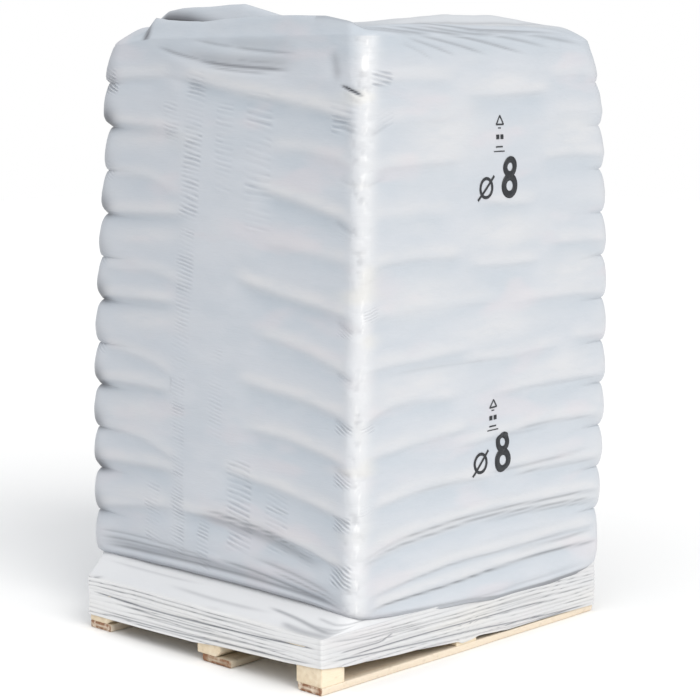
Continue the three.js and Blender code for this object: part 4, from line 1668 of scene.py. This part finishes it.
@dataclass(frozen=True)
class Marks:
    """Generic marks: a ring with a bar, a plain figure, a plain triangle and short bars."""

    run: float
    height: float
    tilt: float
    closeness: float = 1.0
    ring: Pair = (-62.0, -30.0)
    proud: float = 1.0
    thickness: float = 0.4

    def strokes(self) -> list[Stroke]:
        """Lays out the marks.

        Returns:
            The strokes, round the middle between the ring and the figure.
        """
        small = [
            Stroke(((-24, 148), (-8, 173), (8, 148)), 4.5, True),
            Stroke(((-15, 138), (-3, 138)), 3),
            Stroke(((-24, 113), (-11, 113)), 13),
            Stroke(((-5, 113), (8, 113)), 13),
            Stroke(((-24, 85), (6, 85)), 4),
            Stroke(((-32, 72), (15, 72)), 3),
        ]
        for i, stroke in enumerate(small):
            path = tuple((x, 57 + (y - 57) * self.closeness) for x, y in stroke.path)
            small[i] = Stroke(path, stroke.width, stroke.closed)
        x, y = self.ring
        return small + [
            Stroke(ellipse(x, y, 26, 27), 9, True),
            Stroke(((x - 34, y - 35), (x + 35, y + 33)), 7.5),
            Stroke(ellipse(42, -28, 25, 25.5), 21, True),
            Stroke(ellipse(42, 26, 20.5, 21.5), 18.5, True),
        ]

    def build(self, hood: Hood, name: str, ink: Material) -> Piece:
        """Lays the strokes on the hood's long face as thin closed shells.

        Args:
            hood: the hood, with its upper sheet worked out.
            name: the piece's name.
            ink: the print's finish.

        Returns:
            The piece.
        """
        parts = []
        for i, stroke in enumerate(self.strokes()):
            grid = stroke.grid()
            x = grid[..., 0]
            y = grid[..., 1] + x * math.tan(math.radians(self.tilt))
            flat = hood.on_long_face((self.run + x).ravel(), (self.height + y).ravel(), self.proud)
            points = flat.reshape(*grid.shape[:2], 3)
            if stroke.closed:
                points = np.concatenate([points, points[:1]])
            parts.append(surface(f"{name}_{i}", points, closed=False))
        piece = joined(name, parts)
        shell = piece.modifiers.new("solidify", "SOLIDIFY")
        shell.thickness = self.thickness * MM
        shell.offset = 0
        return dress(piece, ink)


# Sacks

# The simulation that fills a sack
FILLING = {
    "quality": 6,
    "mass": 0.3,
    "use_pressure": True,
    "uniform_pressure_force": 5.0,
    "tension_stiffness": 30.0,
    "bending_stiffness": 0.4,
}


@dataclass
class Sacks:
    """Six filled sacks in each layer, the pattern turned from layer to layer."""

    stack: Stack = field(default_factory=Stack)
    across: int = 26
    along: int = 36
    half_length: float = 262.0
    half_width: float = 172.0
    gap: float = 3.0
    corner: float = 105.0
    press: float = 1.3
    frames: int = 20

    def pillow(self) -> Piece:
        """A flat closed envelope of two sheets joined at the rim, ready to be filled.

        With a and b from -1 to 1 over the envelope, it is 3 + 30(1 - a^8)(1 - b^8) mm thick.

        Returns:
            The envelope, lying flat round the origin.
        """
        a = np.linspace(-1, 1, self.along)
        half = np.linspace(-1, 1, self.across)
        tube = np.concatenate([half, half[::-1][1:-1]])
        side = np.concatenate([np.ones(self.across), -np.ones(self.across - 2)])
        a_grid, b_grid = np.meshgrid(a, tube, indexing="ij")
        thick = 3 + 30 * (1 - np.abs(a_grid) ** 8) * (1 - np.abs(b_grid) ** 8)
        points = np.stack([a_grid * self.half_length, -b_grid * self.half_width, side * thick / 2], axis=-1)
        tip = np.array([self.half_length + 1.0, 0.0, 0.0])
        return surface("sack", points, first_pole=-tip, last_pole=tip)

    def fill(self, sack: Piece) -> Array:
        """Fills the envelope with a cloth simulation under pressure and keeps the result.

        Args:
            sack: the flat envelope, which is used up.

        Returns:
            The filled sack's vertices in millimetres.
        """
        filled = sack.data
        cloth = sack.modifiers.new("cloth", "CLOTH")
        for key, value in FILLING.items():
            setattr(cloth.settings, key, value)
        cloth.settings.effector_weights.gravity = 0
        cloth.point_cache.frame_start = 1
        cloth.point_cache.frame_end = self.frames
        for step in range(1, self.frames + 1):
            bpy.context.scene.frame_set(step)
        graph = bpy.context.evaluated_depsgraph_get()
        filled = bpy.data.meshes.new_from_object(sack.evaluated_get(graph))
        bpy.context.scene.frame_set(1)
        return places_of(filled) / MM

    def held_inside(self, x: Array, y: Array, hx: float, hy: float) -> tuple[Array, Array]:
        """Keeps points inside a rounded rectangle round the origin.

        In the square of a corner, a point beyond the arc of the corner's radius moves onto it.

        Args:
            x: places in x.
            y: places in y.
            hx: half size in x.
            hy: half size in y.

        Returns:
            The new places in x and in y.
        """
        px, py = np.abs(x) - (hx - self.corner), np.abs(y) - (hy - self.corner)
        reach = np.hypot(px, py)
        beyond = (px > 0) & (py > 0) & (reach > self.corner)
        share = np.where(beyond, self.corner / np.maximum(reach, TINY), 1.0)
        new_x = np.where(beyond, np.sign(x) * (hx - self.corner + px * share), x)
        new_y = np.where(beyond, np.sign(y) * (hy - self.corner + py * share), y)
        return new_x, new_y

    def layer(self, k: int, shape: Array, faces: list[tuple[int, ...]]) -> Piece:
        """Places six sacks side by side in layer k, counted from 1.

        Each copy is scaled to its cell, pressed flat where it rests on the layer below and carries
        the one above, by z = h tanh(p z / h) / tanh(p) with p the press, and turned end for end at
        random.

        Args:
            k: the layer.
            shape: the filled sack's vertices.
            faces: its faces.

        Returns:
            One object with six closed sacks.
        """
        rng = np.random.default_rng(100 + k)
        low, high = self.stack.seam(k - 1), self.stack.seam(k)
        if k == 1:
            low += 1
        cx, cy, hx, hy = (float(v) for v in self.stack.outline(np.array((low + high) / 2)))
        inset = 8 if k == 1 else 2
        columns, rows = (3, 2) if k % 2 else (2, 3)
        size = (2 * (hx - inset) / columns, 2 * (hy - inset) / rows)
        unit = shape / np.abs(shape).max(axis=0)
        turned = size[0] < size[1]
        vertices, polygons = [], []
        for i in range(columns):
            for j in range(rows):
                flip = rng.choice([-1.0, 1.0])
                local = unit * np.array([flip, flip, 1.0])
                wave = cloud(local * 100 + 977 * (i + 3 * j + 7 * k), 46, 200 + k, 2)
                z = np.tanh(self.press * local[:, 2]) / math.tanh(self.press) * (high - low - 1) / 2
                flat = local[:, :2][:, ::-1] * np.array([1, -1]) if turned else local[:, :2]
                wide = np.array(size) / 2 - self.gap / 2
                x = cx - hx + inset + size[0] * (i + 0.5) + flat[:, 0] * wide[0] * (1 + 0.008 * wave)
                y = cy - hy + inset + size[1] * (j + 0.5) + flat[:, 1] * wide[1] * (1 + 0.008 * wave)
                x, y = self.held_inside(x - cx, y - cy, hx - inset, hy - inset)
                start = len(shape) * len(vertices)
                vertices.append(np.stack([x + cx, y + cy, (low + high) / 2 + z], axis=-1))
                polygons += [tuple(p + start for p in face) for face in faces]
        return smooth_piece(f"sacks_{k:02d}", np.vstack(vertices), polygons)

    def build(self, material: Material) -> None:
        """Fills one sack and builds all layers from it.

        Args:
            material: the sacks' finish.
        """
        sack = self.pillow()
        shape = self.fill(sack)
        faces = [tuple(p.vertices) for p in sack.data.polygons]
        bpy.data.objects.remove(sack)
        for k in range(1, self.stack.layers + 1):
            piece = self.layer(k, shape, faces)
            dress(piece, material, (f"sack_layer_{k:02d}",))


# The pallet

# Half the height below which a piece of wood is a board, whose faces are worn too
THIN_HALF = 20.0
# Distance between two sections along a bar, and the rings that close each of its ends
STATION_PITCH = 16.0
END_RINGS = 4


@dataclass(frozen=True)
class Bar:
    """A sawn board or block that fills a node's box.

    Radius softens its edges, wane is how far its lower edges are eaten away by noise along the
    length, chamfer how much of one lower edge is cut off, and rough how uneven its sides are.
    """

    node: str
    grain: Grain
    radius: float = 2.5
    wane: float = 0.0
    chamfer: float = 0.0
    rough: float = 0.7
    seed: int = 1

    def sawn(self, half: Array, axis: int) -> Array:
        """Carries a rounded rectangle along the bar.

        The ends close through rings that shrink by a quarter circle, and the last one is small.

        Args:
            half: the bar's half sizes.
            axis: which way it runs, 0 or 1.

        Returns:
            A grid of points round the origin.
        """
        other = 1 - axis
        loop = Loop((4, 4, 4, 4), (8, 4, 8, 4))
        stations = max(8, int(2 * half[axis] / STATION_PITCH))
        ends = half[axis] - self.radius * np.array([0.45, 0.12, 0.0, 0.0])
        shrink = np.array([0.3, 0.75, 1.1, 14.0])
        place = np.concatenate([-ends[::-1], np.linspace(-1, 1, stations) * (half[axis] - self.radius), ends])
        inset = np.concatenate([shrink[::-1], np.zeros(stations), shrink]) * self.radius
        inset[0] = inset[-1] = min(half[other], half[2]) * 0.55
        wide, tall = (half[other] - inset)[:, None], (half[2] - inset)[:, None]
        radius = np.minimum(self.radius, np.minimum(wide, tall) * 0.8)
        section = loop.ring((np.zeros_like(wide), np.zeros_like(wide), wide, tall), radius)
        points = np.empty((*section.shape[:2], 3))
        points[..., axis] = place[:, None]
        points[..., other] = section[..., 0] * (1 if axis == 0 else -1)
        points[..., 2] = section[..., 1]
        return points

    def wear(self, points: Array, half: Array, axis: int) -> None:
        """Roughens the grid, and cuts its wane and its chamfer into it.

        Args:
            points: the grid, which is changed.
            half: the bar's half sizes.
            axis: which way it runs, 0 or 1.
        """
        other = 1 - axis
        noise = 0.5 + 0.5 * cloud(points + self.seed * 517, (60, 60, 30), self.seed, 3)
        points[..., other] *= 1 - 0.012 * self.rough * noise
        points[..., 2] *= 1 - 0.02 * self.rough * noise * (half[2] < THIN_HALF)
        if self.wane:
            along = cloud(plane_points(points[..., axis], self.seed * 91), (190, 1, 1), 7 + self.seed, 3)
            low_edge = ramp(0.2, -1, points[..., 2] / half[2])
            outer_edge = ramp(0.5, 0.95, np.abs(points[..., other]) / half[other])
            cut = self.wane * (0.6 + 0.7 * along) * low_edge * outer_edge
            points[..., other] -= np.sign(points[..., other]) * np.clip(cut, 0, None)
        if self.chamfer:
            corner = -points[..., 1] / half[1] - points[..., 2] / half[2]
            push = np.clip(corner - (2 - self.chamfer), 0, None)
            points[..., 1] += push * half[1] * 0.5
            points[..., 2] += push * half[2] * 0.5

    def build(self, material: Material, slot: str) -> Piece:
        """Makes the bar in its node's box.

        Args:
            material: the finish.
            slot: not used.

        Returns:
            The piece, in place of its node.
        """
        low, high = (np.array(v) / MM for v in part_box(self.node))
        half = (high - low) / 2
        axis = 0 if self.grain is Grain.ALONG_X else 1
        points = self.sawn(half, axis)
        self.wear(points, half, axis)
        points += (low + high) / 2
        end = np.zeros(points.shape[:2])
        end[:END_RINGS] = end[-END_RINGS:] = 1.0
        caps = [points[i].mean(axis=0) for i in (0, -1)]
        piece = surface(f"{self.node}_sawn", points, first_pole=caps[0], last_pole=caps[1], values={"end": end})
        if self.faces_inwards(piece):
            piece.data.flip_normals()
        return dress(piece, material, (self.node,))

    @staticmethod
    def faces_inwards(piece: Piece) -> bool:
        """Whether a closed mesh has a negative volume, which a mirrored section gives.

        Args:
            piece: the object.

        Returns:
            True where its faces look inwards.
        """
        mesh = piece.data
        mesh.calc_loop_triangles()
        corners = np.empty(len(mesh.loop_triangles) * 3, np.int32)
        mesh.loop_triangles.foreach_get("vertices", corners)
        a, b, c = places_of(mesh)[corners.reshape(-1, 3)].transpose(1, 0, 2)
        return float((a * np.cross(b, c)).sum()) < 0


@dataclass(frozen=True)
class Pallet:
    """Seven deck boards, three stringer boards, nine blocks and three bottom boards of sawn pine."""

    deck_boards: int = 7
    across: int = 3

    def build(self) -> None:
        """Replaces every node of the pallet with its sawn piece; the middle bottom board is the grey one."""
        along_x = PineFinish("pine_along_x", Grain.ALONG_X).material()
        along_y = PineFinish("pine_along_y", Grain.ALONG_Y).material()
        barky = {"end_tint": (0.24, 0.10, 0.045), "end_share": 0.95}
        runner = PineFinish("pine_runner", Grain.ALONG_X, (0.80, 0.70, 0.57), (0.66, 0.52, 0.37), **barky).material()
        grey_wood = PineFinish("grey_pine", Grain.ALONG_X, (0.60, 0.52, 0.40), (0.36, 0.29, 0.21), (0.20, 0.17, 0.14),
                               0.5, **barky).material()
        places = range(1, self.across + 1)
        for i in range(1, self.deck_boards + 1):
            Bar(f"deck_board_{i}", Grain.ALONG_X, seed=i).build(along_x, "planed_pine")
        for i in places:
            Bar(f"stringer_board_{i}", Grain.ALONG_Y, seed=10 + i).build(along_y, "planed_pine")
        for row in places:
            for place in places:
                name = f"block_{row}{place}"
                cut = {"block_31": 0.42, "block_21": 0.38}.get(name, 0)
                block = Bar(name, Grain.ALONG_X, chamfer=cut, rough=0.5, seed=20 + 3 * row + place)
                block.build(along_x, "planed_pine")
        for i in places:
            if i == 2:
                board = Bar("bottom_board_2", Grain.ALONG_X, radius=3.5, wane=14, rough=1.6, seed=42)
                board.build(grey_wood, "grey_pine")
            else:
                board = Bar(f"bottom_board_{i}", Grain.ALONG_X, wane=4, rough=0.8, seed=40 + i)
                board.build(runner, "planed_pine")


# Camera and light

@dataclass(frozen=True)
class Lamp:
    """A broad, soft light that falls evenly on everything.

    Towards is the direction from the load to it, spread how wide it looks from there in degrees, and
    share how bright it makes a white face that looks straight at it, 1 being white.
    """

    name: str
    towards: Triple
    spread: float
    share: float
    colour: Triple

    def build(self) -> None:
        """Adds the light."""
        data = bpy.data.lights.new(self.name, "SUN")
        data.angle = math.radians(self.spread)
        data.energy = math.pi * self.share
        data.color = self.colour
        lamp = bpy.data.objects.new(self.name, data)
        lamp.rotation_euler = (-Vector(self.towards)).to_track_quat("-Z", "Y").to_euler()
        bpy.context.scene.collection.objects.link(lamp)


@dataclass(frozen=True)
class Studio:
    """A pale floor, an even white surround, a soft key from the right, and the camera."""

    place: Triple = (-4.4648, -4.4147, 1.7550)
    forward: Triple = (0.70853, 0.69046, -0.14574)
    right: Triple = (0.69792, -0.71618, 0.0)
    roll: float = 0.15
    lens: float = 106.15
    sensor: float = 36.0
    clip: Pair = (0.1, 100.0)
    floor_reach: float = 15000.0
    floor_drop: float = 1.0
    surround: Triple = (0.97, 0.985, 1.0)
    surround_strength: float = 0.62
    lamps: tuple[Lamp, ...] = (
        Lamp("key", (-0.15, -0.75, 0.65), 40.0, 0.55, (1.0, 0.98, 0.94)),
        Lamp("top", (-0.6, -0.1, 0.8), 60.0, 0.2, (0.97, 0.98, 1.0)),
    )

    def camera(self) -> None:
        """Sets up the camera that stands at the photograph's viewpoint."""
        forward, right = Vector(self.forward).normalized(), Vector(self.right).normalized()
        up = right.cross(forward)
        c, s = math.cos(math.radians(self.roll)), math.sin(math.radians(self.roll))
        across, upward = c * right - s * up, s * right + c * up
        data = bpy.data.cameras.new("camera")
        data.lens = self.lens
        data.sensor_width = self.sensor
        data.clip_start, data.clip_end = self.clip
        camera = bpy.data.objects.new("camera", data)
        turn = Matrix((across, upward, -forward)).transposed().to_4x4()
        camera.matrix_world = Matrix.Translation(Vector(self.place)) @ turn
        bpy.context.scene.collection.objects.link(camera)
        bpy.context.scene.camera = camera

    def build(self, floor_material: Material) -> None:
        """Makes the camera, the floor, the surround and the lights.

        Args:
            floor_material: the floor's finish.
        """
        self.camera()
        side = np.linspace(-self.floor_reach, self.floor_reach, 9)
        x, y = np.meshgrid(side, side)
        floor = surface("floor", np.stack([x, y, np.full_like(x, -self.floor_drop)], axis=-1), closed=False)
        floor.data.materials.append(floor_material)
        world = bpy.data.worlds.new("surround")
        world.use_nodes = True
        tree = world.node_tree
        light = tree.nodes["Background"]
        light.inputs["Color"].default_value = (*self.surround, 1.0)
        light.inputs["Strength"].default_value = self.surround_strength
        seen = tree.nodes.new("ShaderNodeBackground")
        seen.inputs["Color"].default_value = (1.0, 1.0, 1.0, 1.0)
        path = tree.nodes.new("ShaderNodeLightPath")
        choice = tree.nodes.new("ShaderNodeMixShader")
        tree.links.new(path.outputs["Is Camera Ray"], choice.inputs[0])
        tree.links.new(light.outputs[0], choice.inputs[1])
        tree.links.new(seen.outputs[0], choice.inputs[2])
        tree.links.new(choice.outputs[0], tree.nodes["World Output"].inputs["Surface"])
        bpy.context.scene.world = world
        for lamp in self.lamps:
            lamp.build()
        bpy.context.scene.view_settings.view_transform = "Standard"


def main() -> None:
    """Builds everything in order."""
    logging.basicConfig(level=logging.INFO, format="%(message)s")
    Studio().build(FLOOR_FINISH.material())
    Pallet().build()
    Sacks().build(SACK_FINISH.material())
    hood = Hood()
    hood.build(FilmFinish("stretch_film").material(), FilmFinish("skirt_film", warm=(0.76, 0.73, 0.68)).material())
    ink = INK_FINISH.material()
    Marks(562.0, 1382.0, 0.0).build(hood, "print_upper", ink)
    Marks(565.0, 577.0, 1.5, 0.88, (-57.0, -21.0)).build(hood, "print_lower", ink)


if __name__ == "__main__":
    main()
